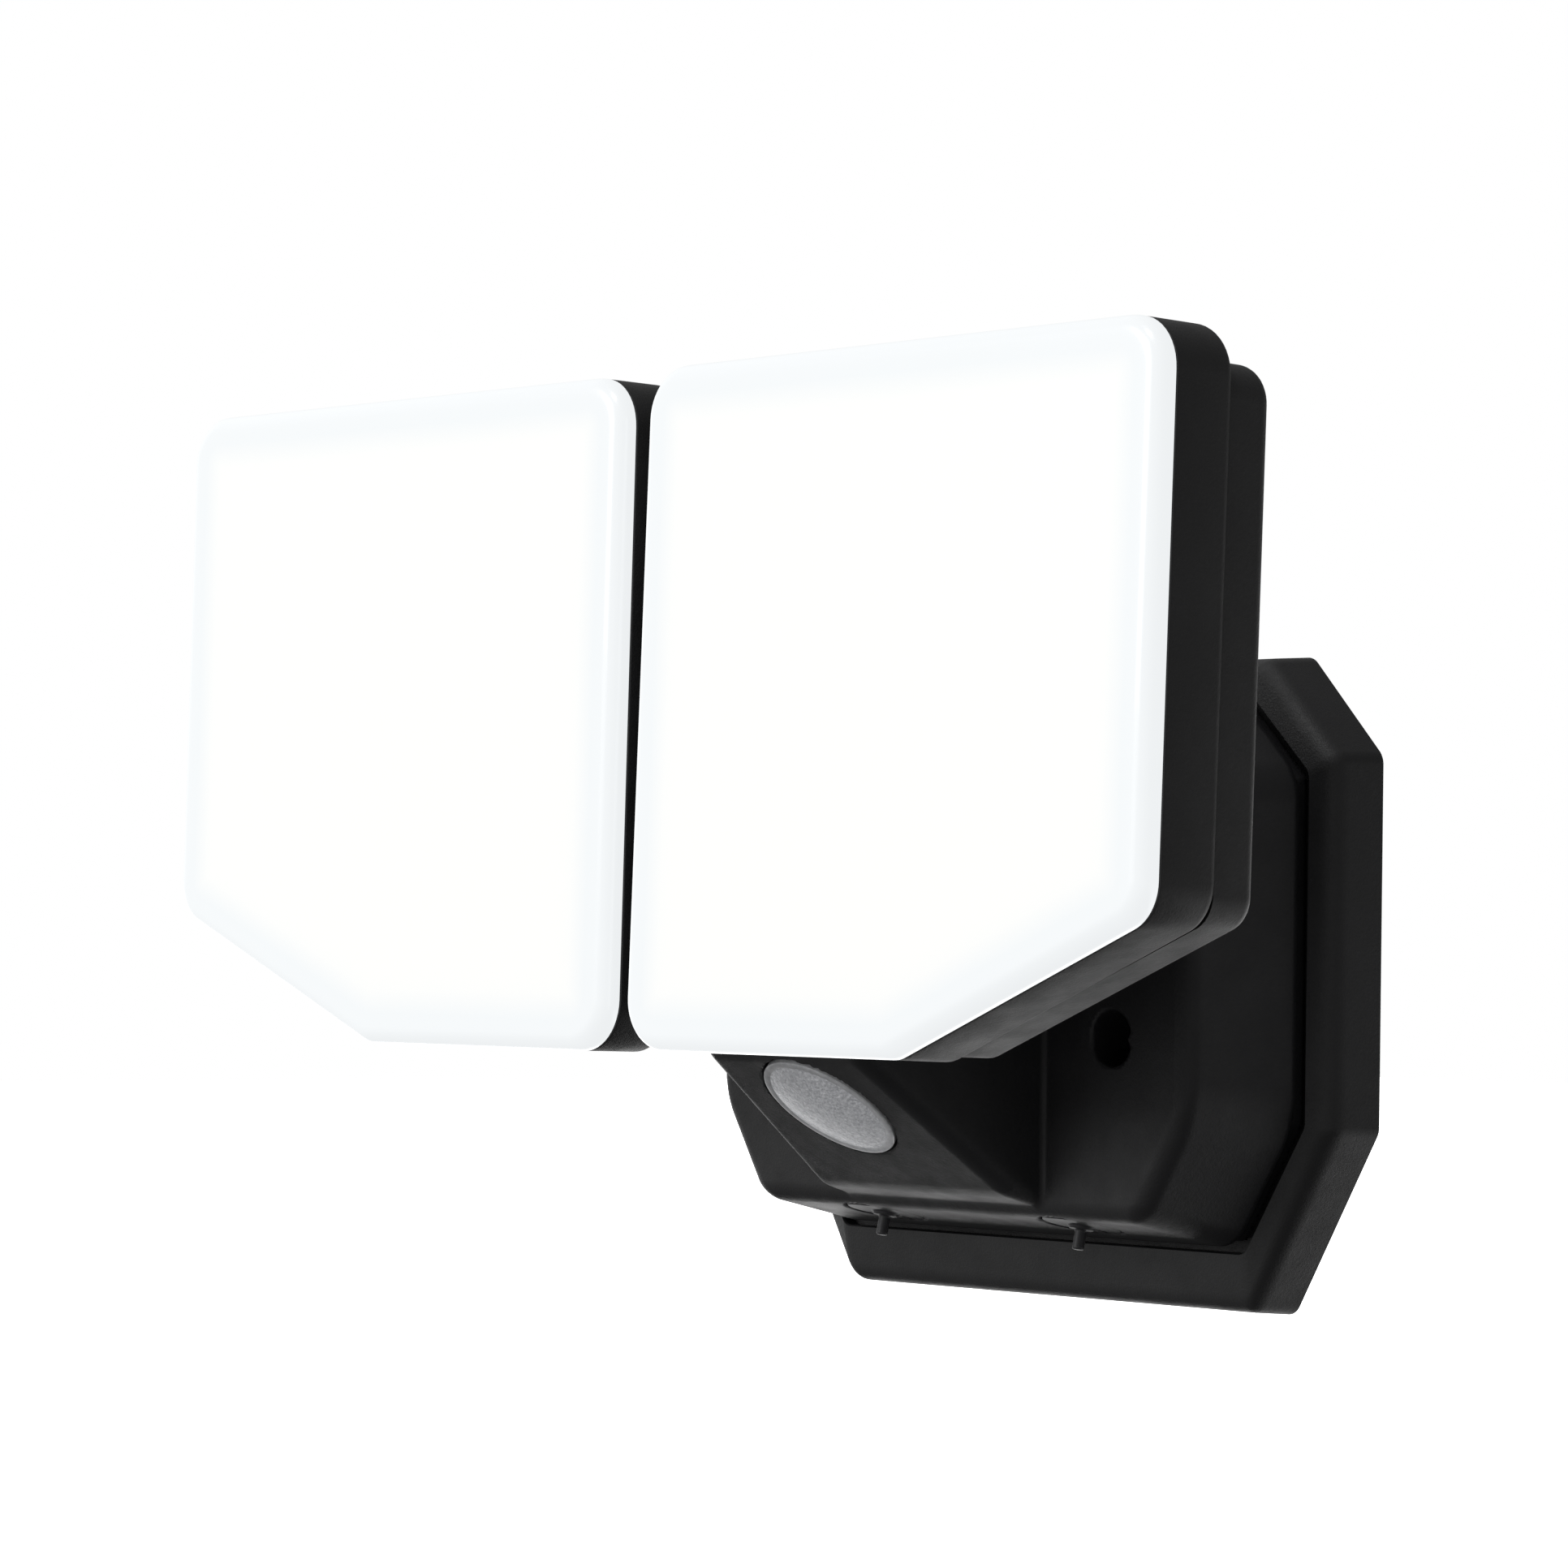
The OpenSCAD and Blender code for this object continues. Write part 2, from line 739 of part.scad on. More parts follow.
module led_chips(right) {
    color("#e8d27a") lowered() on_head(right)
        for (i = [0:led_cols - 1]) for (j = [0:led_rows - 1]) {
            x = head_in + head_w / 2 + (i - (led_cols - 1) / 2) * led_pitch_x;
            h = head_lo_h + head_h / 2 + (j - (led_rows - 1) / 2) * led_pitch_h;
            outside = (x - (head_out - chamfer_w)) * chamfer_h / chamfer_w - (h - head_lo_h) > -12;
            on_hole = norm([x - wire_hole_x, h - wire_hole_h]) < 6;
            if (!outside && !on_hole)
                translate([x - 1.4, -(housing_back_d + 2.4 + board_t + 0.7), h - 1.75]) cube([2.8, 0.7, 3.5]);
        }
}

module tilt_ears() {
    for (s = [-1, 1]) translate([pan_x + s * (ear_in + ear_t / 2), -tilt_d, pivot_h]) rotate([0, 90, 0])
        difference() {
            union() {
                cylinder(h = ear_t, r = barrel_r, center = true);
                translate([-barrel_r, -(cover_back_d - tilt_d) - 1, -ear_t / 2])
                    cube([2 * barrel_r, cover_back_d - tilt_d + 1, ear_t]);
            }
            cylinder(h = ear_t + 1, r = bolt_d / 2 + run_fit, center = true);
        }
}

// Box behind the housing that takes the wiring and carries the tilt ears
module rear_cover(right) {
    color(dark) lowered() on_head(right) difference() {
        union() {
            difference() {
                slab(cover_back_d, housing_back_d) polygon(cover_shape(0));
                slab(cover_back_d + wall, housing_back_d + 1) polygon(cover_shape(wall));
            }
            for (p = head_screw_spots()) rod(p.x, p.y, cover_back_d + 1, housing_back_d, 7);
            tilt_ears();
        }
        for (p = head_screw_spots()) {
            rod(p.x, p.y, cover_back_d - 1, housing_back_d + 1, 3.2);
            rod(p.x, p.y, cover_back_d - 1, cover_back_d + 2.2, 6);
        }
    }
}

module rear_screws(right) {
    color(steel) lowered() on_head(right) for (p = head_screw_spots()) difference() {
        union() {
            rod(p.x, p.y, cover_back_d + 0.4, cover_back_d + 2.2, 5.4);
            rod(p.x, p.y, cover_back_d + 2.2, housing_back_d + 1.9, 2.6);
        }
        for (turn = [0, 90]) translate([p.x, -cover_back_d - 0.4, p.y]) rotate([0, turn, 0])
            cube([3, 1.6, 0.7], center = true);
    }
}

module tilt_bolt(right) {
    color(steel) lowered() on_head(right) translate([pan_x, -tilt_d, pivot_h]) rotate([0, 90, 0]) {
        translate([0, 0, -ear_out - nut_t - 1]) cylinder(h = 2 * ear_out + nut_t + 1, d = bolt_d);
        difference() {
            translate([0, 0, ear_out]) cylinder(h = bolt_head_t, d = bolt_head_d);
            translate([0, 0, ear_out + 1.4]) hex(4, 3);
        }
    }
}

module tilt_nut(right) {
    color(zinc) lowered() on_head(right) translate([pan_x - ear_out - nut_t, -tilt_d, pivot_h])
        rotate([0, 90, 0]) difference() {
            hex(nut_flats, nut_t);
            translate([0, 0, -1]) cylinder(h = nut_t + 2, d = bolt_d);
        }
}

module diffuser_left() {
    diffuser(false);
}

module diffuser_seal_left() {
    diffuser_seal(false);
}

module led_board_left() {
    led_board(false);
}

module led_chips_left() {
    led_chips(false);
}

module head_housing_left() {
    head_housing(false);
}

module rear_cover_left() {
    rear_cover(false);
}

module rear_screws_left() {
    rear_screws(false);
}

module tilt_bolt_left() {
    tilt_bolt(false);
}

module tilt_nut_left() {
    tilt_nut(false);
}

module diffuser_right() {
    diffuser(true);
}

module diffuser_seal_right() {
    diffuser_seal(true);
}

module led_board_right() {
    led_board(true);
}

module led_chips_right() {
    led_chips(true);
}

module head_housing_right() {
    head_housing(true);
}

module rear_cover_right() {
    rear_cover(true);
}

module rear_screws_right() {
    rear_screws(true);
}

module tilt_bolt_right() {
    tilt_bolt(true);
}

module tilt_nut_right() {
    tilt_nut(true);
}

wall_tray();
wall_gasket();
cable_grommet();
front_shell();
shell_seal();
shell_screws();
pir_lens();
lens_retainer();
pir_sensor();
sensor_board();
driver_board();
driver_posts();
transformer();
capacitors();
relay();
terminal_block();
terminal_screws();
dial_board();
time_pot();
lux_pot();
time_dial();
lux_dial();
pan_bolt_left();
pan_nut_left();
pan_bolt_right();
pan_nut_right();
knuckle_left();
washers_left();
knuckle_right();
washers_right();
diffuser_left();
diffuser_seal_left();
led_board_left();
led_chips_left();
head_housing_left();
rear_cover_left();
rear_screws_left();
tilt_bolt_left();
tilt_nut_left();
diffuser_right();
diffuser_seal_right();
led_board_right();
led_chips_right();
head_housing_right();
rear_cover_right();
rear_screws_right();
tilt_bolt_right();
tilt_nut_right();
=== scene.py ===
import json
import math

import bmesh
import bpy
import numpy as np
from mathutils import Matrix, Vector


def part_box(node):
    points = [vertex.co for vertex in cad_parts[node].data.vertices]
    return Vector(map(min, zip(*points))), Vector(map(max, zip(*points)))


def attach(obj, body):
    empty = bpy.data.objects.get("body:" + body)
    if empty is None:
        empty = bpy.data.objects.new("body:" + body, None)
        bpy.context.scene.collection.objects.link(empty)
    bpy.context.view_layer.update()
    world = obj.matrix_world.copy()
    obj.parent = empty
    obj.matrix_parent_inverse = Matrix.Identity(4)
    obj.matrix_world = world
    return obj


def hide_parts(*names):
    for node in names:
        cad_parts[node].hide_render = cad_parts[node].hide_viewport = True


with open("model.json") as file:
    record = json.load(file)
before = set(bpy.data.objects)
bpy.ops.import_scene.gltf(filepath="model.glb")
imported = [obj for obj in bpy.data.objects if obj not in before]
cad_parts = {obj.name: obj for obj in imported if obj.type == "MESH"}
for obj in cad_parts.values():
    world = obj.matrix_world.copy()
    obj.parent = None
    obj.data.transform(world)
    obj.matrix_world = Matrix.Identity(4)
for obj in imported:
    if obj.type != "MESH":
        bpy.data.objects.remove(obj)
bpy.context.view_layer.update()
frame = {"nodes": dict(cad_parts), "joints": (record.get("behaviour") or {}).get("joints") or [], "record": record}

NODES = frame["nodes"]
SIDES = {"left": -1, "right": 1}
MM = 0.001

# ---------------------------------------------------------------- sizes, in millimetres
# The shapes below are drawn in x, depth in front of the wall, and height above the
# tray's lower edge. SCREW_H takes them back to the frame, whose origin is at the screws.
SCREW_H = -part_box("wall_tray")[0].z / MM
JOINTS = {j["name"]: j for j in frame["joints"]}
PAN_X = JOINTS["pan_right"]["pos_m"][0] / MM
PAN_DEPTH = -JOINTS["pan_right"]["pos_m"][1] / MM
PIVOT_H = 70.0
KNUCKLE_REACH = 19.0
TILT_DEPTH = PAN_DEPTH + KNUCKLE_REACH
DIAL_X, DIAL_DEPTH, DIAL_Z = (v / MM for v in JOINTS["lux_turn"]["pos_m"])
DIAL_AXIS = JOINTS["lux_turn"]["axis"]
REST_TILT = {"left": 1.0, "right": 1.7}
BARREL_R, BARREL_HALF, BOLT_R = 9.0, 9.2, 2.5
EAR_IN, EAR_OUT = 10.2, 14.8
EAR_ROOT_DEPTH = 28

HEAD_W, HEAD_H, HEAD_GAP, HEAD_LO = 114.0, 104.0, 8.6, 39.4
HEAD_CHAMFER = (52.6, 20.9)
HEAD_RADII = [8.0, 7.0, 7.0, 8.0, 8.0]
COVER_BACK, HOUSING_BACK, RIM_DEPTH, CAP_DEPTH = 76.6, 85.0, 96.0, 99.6
COVER_INSET, COVER_RISE, COVER_DROP = 1.0, 0.8, 5.0
RIM_WIDTH = 12.0
COVER_SCREW_GAP, COVER_SCREW_R = 13.0, 3.0

TRAY_W, TRAY_H, TRAY_DEPTH, GROOVE_DEPTH = 133.0, 103.0, 11.6, 9.2
TRAY_CORNER_R, TRAY_SOFT_EDGE, TRAY_FLOOR_DEPTH = 3.0, 3.0, 2.6
TRAY_SCREW_X, TRAY_SCREW_H = 49, (30, 78)
WALL_SCREW_R = 2.2
GROMMET_H, GROMMET_R = 23.6, 7
GASKET_INSET, GASKET_WIDTH, GASKET_DEPTH = 3, 3, 1.2
REAR_DEPTH, FRONT_DEPTH, WALL = 12.6, 32.3, 2.4
SPIGOT_INSET, SPIGOT_DEPTH = 1.3, 9.8
REAR_OCT = [(47.9, 10.8), (60.5, 30.2), (60.5, 84.0), (46.7, 97.0)]
FRONT_OCT = [(46.3, 15.0), (57.0, 32.2), (57.0, 82.2), (45.8, 92.8)]
TRAY_OCT = [(48.7, 0.0), (TRAY_W / 2, 29.0), (TRAY_W / 2, 87.2), (51.0, TRAY_H)]
SHELL_EDGE_R = 2.8
TUNNEL_X, TUNNEL_R, TUNNEL_WALL = 40.0, 4.4, 1.5
SENSOR_DEPTH, SENSOR_H, SENSOR_ANGLE = 55.5, 31.3, math.radians(52.6)
LENS_R, LENS_SEAT_R = 11.7, 13.6
DISH_R, DISH_DEPTH = 6.9, 1.9
# The wedge under the heads: where each face lies, and the direction it faces. The top and
# foot are in (depth, height), and the sides in (x, depth).
NOSE_TIP_DEPTH, NOSE_TOP_H = 67.0, 45.1
NOSE_TOP_NORMAL = (18.9, 40.7)
NOSE_FOOT, NOSE_FOOT_NORMAL = (38.2, 18.1), (2.0, -7.2)
NOSE_SIDE_X, NOSE_SIDE_NORMAL = 24.8, (34.7, 5.9)


def to_frame(p):
    """(x, depth, height above the tray's lower edge) in mm -> row frame in metres"""
    return Vector((p[0] * MM, -p[1] * MM, (p[2] - SCREW_H) * MM))


# ---------------------------------------------------------------- mesh helpers

def new_object(name, verts, faces):
    mesh = bpy.data.meshes.new(name)
    mesh.from_pydata([tuple(v) for v in verts], [], [tuple(f) for f in faces])
    mesh.validate()
    obj = bpy.data.objects.new(name, mesh)
    bpy.context.scene.collection.objects.link(obj)
    outward_faces(obj)
    smooth_by_angle(obj, 35)
    return obj


def outward_faces(obj):
    bm = bmesh.new()
    bm.from_mesh(obj.data)
    bmesh.ops.recalc_face_normals(bm, faces=bm.faces)
    bm.to_mesh(obj.data)
    bm.free()


def smooth_by_angle(obj, angle):
    obj.data.shade_smooth()
    obj.data.set_sharp_from_angle(angle=math.radians(angle))


def boolean(obj, cutters, operation="DIFFERENCE"):
    for cutter in cutters:
        mod = obj.modifiers.new("bool", "BOOLEAN")
        mod.operation = operation
        mod.solver = "EXACT"
        mod.object = cutter
        deps = bpy.context.evaluated_depsgraph_get()
        mesh = bpy.data.meshes.new_from_object(obj.evaluated_get(deps))
        obj.modifiers.remove(mod)
        obj.data = mesh
        bpy.data.objects.remove(cutter)
    return obj


def corner_arc(a, b, c, r, n):
    """Arc of radius r that rounds corner b between the edges to a and c, with n segments"""
    a, b, c = Vector(a), Vector(b), Vector(c)
    u, w = (a - b).normalized(), (c - b).normalized()
    half = u.angle(w) / 2
    centre = b + (u + w).normalized() * r / math.sin(half)
    start, finish = b + u * r / math.tan(half) - centre, b + w * r / math.tan(half) - centre
    a0 = math.atan2(start.y, start.x)
    turn = (math.atan2(finish.y, finish.x) - a0 + 3 * math.pi) % (2 * math.pi) - math.pi
    return [centre + r * Vector((math.cos(a0 + turn * i / n), math.sin(a0 + turn * i / n)))
            for i in range(n + 1)]


def rounded(points, radii, n=12):
    """Convex outline with each corner rounded by its own radius"""
    k = len(points)
    return [p for i in range(k)
            for p in corner_arc(points[i - 1], points[i], points[(i + 1) % k], radii[i], n)]


def inset(points, d):
    """Convex outline moved inwards by d"""
    k, out = len(points), []
    for i in range(k):
        b = Vector(points[i])
        u = (Vector(points[i - 1]) - b).normalized()
        w = (Vector(points[(i + 1) % k]) - b).normalized()
        out.append(b + (u + w) * d / math.sin(u.angle(w)))
    return out


def loft(name, rings, close_ends=True, mirrored=1):
    """Skin over rings of equal length; each ring is a list of (x, depth, height)"""
    n = len(rings[0])
    verts = [to_frame((p[0] * mirrored, p[1], p[2])) for ring in rings for p in ring]
    faces = []
    for r in range(len(rings) - 1):
        for i in range(n):
            j = (i + 1) % n
            faces.append((r * n + i, r * n + j, (r + 1) * n + j, (r + 1) * n + i))
    if close_ends:
        faces.append(tuple(reversed(range(n))))
        faces.append(tuple((len(rings) - 1) * n + i for i in range(n)))
    else:
        last = (len(rings) - 1) * n
        faces += [(last + i, last + (i + 1) % n, (i + 1) % n, i) for i in range(n)]
    return new_object(name, verts, faces)


def fillet(r, d0, depth0, direction, n=6):
    """(inset, depth) pairs of a quarter round that turns from a side into an end face"""
    return [(d0 + r * (1 - math.cos(t)), depth0 + direction * r * math.sin(t))
            for t in (math.pi / 2 * i / n for i in range(n + 1))]


def lathe(name, profile, axis_point, axis, segments=96):
    """Solid of revolution; profile is (radius, distance along the axis) in mm, its ends on the axis"""
    rings = [p for p in profile if p[0] > 1e-6]
    ends = [profile[0][1], profile[-1][1]]
    turn = Vector((0, 0, 1)).rotation_difference(Vector(axis)).to_matrix()

    def place(x, y, z):
        return Vector(axis_point) + turn @ Vector((x, y, z)) * MM

    verts = [place(r * math.cos(a), r * math.sin(a), z) for r, z in rings
             for a in (2 * math.pi * i / segments for i in range(segments))]
    verts += [place(0, 0, z) for z in ends]
    faces = []
    for k in range(len(rings) - 1):
        for i in range(segments):
            j = (i + 1) % segments
            near, far = k * segments, (k + 1) * segments
            faces.append((near + i, near + j, far + j, far + i))
    first, last = len(rings) * segments, len(rings) * segments + 1
    base = (len(rings) - 1) * segments
    for i in range(segments):
        j = (i + 1) % segments
        faces.append((first, j, i))
        faces.append((last, base + i, base + j))
    return new_object(name, verts, faces)


# ---------------------------------------------------------------- rounded solids from distance fields
# A field is negative inside the solid. Fields are built from planes and cylinders, joined
# with rounded edges and fillets, and turned into a mesh whose vertices lie on the surface.

def both(r, *fields):
    """Intersection whose outer edges are rounded with radius r"""
    f = np.stack(np.broadcast_arrays(*fields))
    return np.minimum(f.max(0), -r) + np.sqrt((np.maximum(f + r, 0) ** 2).sum(0))


def either(r, a, b):
    """Union with a fillet of radius r in the inner corner"""
    ua, ub = np.maximum(r - a, 0), np.maximum(r - b, 0)
    return np.maximum(np.minimum(a, b), r) - np.sqrt(ua * ua + ub * ub)


def without(r, a, b):
    """a with b cut out, the rim rounded with radius r"""
    return both(r, a, -b)


def plane_field(p, normal, point):
    n = np.array(normal, float) / np.linalg.norm(normal)
    return sum((p[i] - point[i]) * n[i] for i in range(3))


def plane_through(p, a, b, c, inside):
    n = np.cross(np.subtract(b, a), np.subtract(c, a))
    if np.dot(n, np.subtract(inside, a)) > 0:
        n = -n
    return plane_field(p, n, a)


def rod_field(p, point, axis, r):
    a = np.array(axis, float) / np.linalg.norm(axis)
    q = [p[i] - point[i] for i in range(3)]
    along = sum(q[i] * a[i] for i in range(3))
    return np.sqrt(np.maximum(sum(c * c for c in q) - along ** 2, 0)) - r, along


def disc_field(p, point, axis, r, lo, hi, edge=0.3):
    radial, along = rod_field(p, point, axis, r)
    return both(edge, radial, lo - along, along - hi)


def surface(field, lo, hi, step, rim=None):
    """Mesh of field = 0 inside the box lo to hi, by surface nets with the vertices pulled
    onto the surface. rim is a depth and the field of the faces that end there: the vertices
    along that edge are put on it."""
    lo, hi = np.array(lo, float), np.array(hi, float)
    counts = np.ceil((hi - lo) / step).astype(int) + 1
    axes = [lo[i] + step * np.arange(counts[i]) for i in range(3)]
    grid = np.meshgrid(*axes, indexing="ij", sparse=True)
    vals = np.broadcast_to(field(grid), counts)
    total, hits, edges = np.zeros(tuple(counts) + (3,)), np.zeros(counts), []
    for ax in range(3):
        u, v = (ax + 1) % 3, (ax + 2) % 3
        a = np.take(vals, range(counts[ax] - 1), ax)
        b = np.take(vals, range(1, counts[ax]), ax)
        idx = np.argwhere((a < 0) != (b < 0))
        va, vb = a[tuple(idx.T)], b[tuple(idx.T)]
        pos = lo + step * idx
        pos[:, ax] += step * va / (va - vb)
        cells = []
        for du, dv in ((0, 0), (1, 0), (1, 1), (0, 1)):
            c = idx.copy()
            c[:, u] -= du
            c[:, v] -= dv
            np.add.at(total, tuple(c.T), pos)
            np.add.at(hits, tuple(c.T), 1)
            cells.append(c)
        edges.append((cells, va < 0))
    used = hits > 0
    index = -np.ones(counts, int)
    index[used] = np.arange(used.sum())
    pts = total[used] / hits[used][:, None]

    def evaluate(q, f):
        return f([q[:, 0], q[:, 1], q[:, 2]])

    def gradient(q, f=field, h=0.02):
        return np.stack([(evaluate(q + h * e, f) - evaluate(q - h * e, f)) / (2 * h)
                         for e in np.eye(3)], 1)

    for _ in range(4):
        g = gradient(pts)
        move = -g * (evaluate(pts, field) / np.maximum((g * g).sum(1), 1e-6))[:, None]
        length = np.linalg.norm(move, axis=1, keepdims=True)
        pts += move * np.minimum(1, 0.4 * step / np.maximum(length, 1e-9))
    normals = gradient(pts)
    if rim:
        depth, sides = rim
        near = np.flatnonzero((np.abs(pts[:, 1] - depth) < 0.7 * step)
                              & (np.abs(sides([pts[:, 0], pts[:, 1], pts[:, 2]])) < 0.7 * step))
        edge = pts[near]
        edge[:, 1] = depth
        for _ in range(4):
            g = gradient(edge, sides)
            g[:, 1] = 0
            f = sides([edge[:, 0], edge[:, 1], edge[:, 2]])
            edge -= g * (f / np.maximum((g * g).sum(1), 1e-6))[:, None]
        pts[near] = edge
        normals[near] = gradient(edge, sides) + np.array([0, -0.6, 0])
    faces = []
    for cells, rising in edges:
        quad = np.stack([index[tuple(c.T)] for c in cells], 1)
        quad[~rising] = quad[~rising][:, ::-1]
        faces.append(quad)
    normals /= np.maximum(np.linalg.norm(normals, axis=1, keepdims=True), 1e-9)
    return pts, np.concatenate(faces), normals


def solid_from_field(name, field, lo, hi, step, mirrored=1, rim=None):
    pts, faces, normals = surface(field, lo, hi, step, rim)
    flip = np.array([mirrored, -1, 1.0])
    verts = pts * flip * MM - np.array([0, 0, SCREW_H * MM])
    # depth runs against Y, so an unmirrored copy needs its faces turned
    if mirrored > 0:
        faces = faces[:, ::-1]
    mesh = bpy.data.meshes.new(name)
    mesh.from_pydata(verts.tolist(), [], faces.tolist())
    mesh.shade_smooth()
    mesh.normals_split_custom_set_from_vertices((normals * flip).tolist())
    obj = bpy.data.objects.new(name, mesh)
    bpy.context.scene.collection.objects.link(obj)
    return obj


# ---------------------------------------------------------------- materials

def material(name, base, rough, metallic=0.0, specular=0.5, coat=0.0):
    mat = bpy.data.materials.new(name)
    mat.use_nodes = True
    bsdf = mat.node_tree.nodes["Principled BSDF"]
    bsdf.inputs["Base Color"].default_value = (*base, 1)
    bsdf.inputs["Roughness"].default_value = rough
    bsdf.inputs["Metallic"].default_value = metallic
    bsdf.inputs["Specular IOR Level"].default_value = specular
    bsdf.inputs["Coat Weight"].default_value = coat
    return mat, mat.node_tree, bsdf


def node(tree, kind, **values):
    n = tree.nodes.new(kind)
    for key, value in values.items():
        if key in n.inputs:
            n.inputs[key].default_value = value
        else:
            setattr(n, key, value)
    return n


def position(tree):
    return tree.nodes.new("ShaderNodeTexCoord").outputs["Object"]


def noise(tree, scale, detail=3.0, rough=0.6):
    n = node(tree, "ShaderNodeTexNoise", Scale=scale, Detail=detail, Roughness=rough)
    tree.links.new(position(tree), n.inputs["Vector"])
    return n.outputs["Fac"]


def ramp(tree, fac, stops):
    r = tree.nodes.new("ShaderNodeValToRGB")
    elements = r.color_ramp.elements
    while len(elements) < len(stops):
        elements.new(0.5)
    for element, (place, colour) in zip(elements, stops):
        element.position = place
        element.color = (*colour, 1)
    tree.links.new(fac, r.inputs["Fac"])
    return r.outputs["Color"]


def shade(value):
    return (value, value, value)


def bump(tree, height, bsdf, strength, distance, under=None):
    b = node(tree, "ShaderNodeBump", Strength=strength, Distance=distance)
    tree.links.new(height, b.inputs["Height"])
    if under:
        tree.links.new(under, b.inputs["Normal"])
    tree.links.new(b.outputs["Normal"], bsdf.inputs["Normal"])
    return b.outputs["Normal"]


def grained_plastic(name, base, rough=0.5, grain=0.35, specular=0.35):
    """Black moulded plastic with a fine spark-eroded grain and a slight mottling"""
    mat, tree, bsdf = material(name, base, rough, specular=specular)
    mottle = noise(tree, 45, 3)
    low, high = [tuple(c * k for c in base) for k in (0.82, 1.2)]
    tree.links.new(ramp(tree, mottle, [(0.35, low), (0.65, high)]), bsdf.inputs["Base Color"])
    sheen = ramp(tree, noise(tree, 160, 4), [(0.3, shade(rough - 0.05)), (0.7, shade(rough + 0.07))])
    tree.links.new(sheen, bsdf.inputs["Roughness"])
    coarse = bump(tree, noise(tree, 1400, 2), bsdf, 0.5 * grain, 0.0002)
    bump(tree, noise(tree, 3200, 3, 0.7), bsdf, grain, 0.00015, coarse)
    return mat


def opal_plastic():
    """Smooth opal white lit by painted glow: its emission stands in for the light on the cap, and goes a little
    cooler and darker towards the rim as painted shade of the rolled edge
    """
    mat, tree, bsdf = material("opal_white", (0.93, 0.94, 0.93), 0.3, specular=0.4, coat=0.25)
    # The rim attribute plus a little cloud noise masks the painted shade of the rolled edge
    edge = node(tree, "ShaderNodeAttribute", attribute_name="rim")
    cloud = noise(tree, 30, 2)
    cloud_and_rim_shade = node(tree, "ShaderNodeMath", operation="MULTIPLY_ADD")
    tree.links.new(cloud, cloud_and_rim_shade.inputs[0])
    cloud_and_rim_shade.inputs[1].default_value = 0.04
    tree.links.new(edge.outputs["Fac"], cloud_and_rim_shade.inputs[2])
    surface_colour = ramp(tree, cloud_and_rim_shade.outputs[0], [
        (0.0, (0.062, 0.062, 0.060)), (1.0, (0.056, 0.059, 0.061))])
    # Painted glow: emission in place of the light falling on the white cap, darker and cooler in its rim stops as
    # painted shade
    painted_glow = ramp(tree, cloud_and_rim_shade.outputs[0], [
        (0.0, (0.900, 0.900, 0.884)), (0.3, (0.888, 0.892, 0.882)),
        (0.62, (0.825, 0.850, 0.862)), (1.0, (0.835, 0.856, 0.868))])
    tree.links.new(surface_colour, bsdf.inputs["Base Color"])
    tree.links.new(painted_glow, bsdf.inputs["Emission Color"])
    bsdf.inputs["Emission Strength"].default_value = 1.0
    bump(tree, noise(tree, 500, 2), bsdf, 0.03, 0.0001)
    return mat


def frosted_lens():
    """Translucent grey lens with a fine pebble texture and a faint painted glow that stands in for light coming
    through it
    """
    mat, tree, bsdf = material("frosted_lens", (0.3, 0.31, 0.33), 0.38, specular=0.5, coat=0.1)
    cells = node(tree, "ShaderNodeTexVoronoi", Scale=1900.0)
    tree.links.new(position(tree), cells.inputs["Vector"])
    grain = noise(tree, 1500, 4, 0.75)
    tree.links.new(ramp(tree, grain, [(0.3, (0.32, 0.325, 0.345)), (0.7, (0.84, 0.845, 0.87))]),
                   bsdf.inputs["Base Color"])
    # Painted glow: a faint emission in place of the light that comes through the lens
    bsdf.inputs["Emission Color"].default_value = (0.92, 0.94, 1.0, 1)
    bsdf.inputs["Emission Strength"].default_value = 0.05
    first = bump(tree, cells.outputs["Distance"], bsdf, 0.6, 0.0003)
    bump(tree, grain, bsdf, 0.5, 0.0002, first)
    return mat


def lens_rim():
    """Smooth bright rim round the frosted lens"""
    mat, tree, bsdf = material("lens_rim", (0.34, 0.345, 0.36), 0.28, specular=0.5)
    grey = ramp(tree, noise(tree, 700, 3), [(0.3, (0.42, 0.425, 0.44)), (0.7, (0.60, 0.605, 0.62))])
    tree.links.new(grey, bsdf.inputs["Base Color"])
    bump(tree, noise(tree, 1800, 2), bsdf, 0.08, 0.0001)
    return mat


def metal(name, base, rough):
    """Plated steel with fine turning marks and a little dullness"""
    mat, tree, bsdf = material(name, base, rough, metallic=1.0)
    dull = ramp(tree, noise(tree, 260, 4), [(0.3, tuple(c * 0.75 for c in base)), (0.7, base)])
    tree.links.new(dull, bsdf.inputs["Base Color"])
    sheen = ramp(tree, noise(tree, 900, 3), [(0.3, shade(rough - 0.08)), (0.7, shade(rough + 0.12))])
    tree.links.new(sheen, bsdf.inputs["Roughness"])
    bump(tree, noise(tree, 2400, 2), bsdf, 0.12, 0.0001)
    return mat


def coloured(name, base, rough, grain=0.1):
    """Plain coloured surface with a little mottling"""
    mat, tree, bsdf = material(name, base, rough)
    low, high = [tuple(min(1, c * k) for c in base) for k in (0.85, 1.12)]
    mottle = ramp(tree, noise(tree, 220, 3), [(0.3, low), (0.7, high)])
    tree.links.new(mottle, bsdf.inputs["Base Color"])
    bump(tree, noise(tree, 1600, 2), bsdf, grain, 0.0001)
    return mat


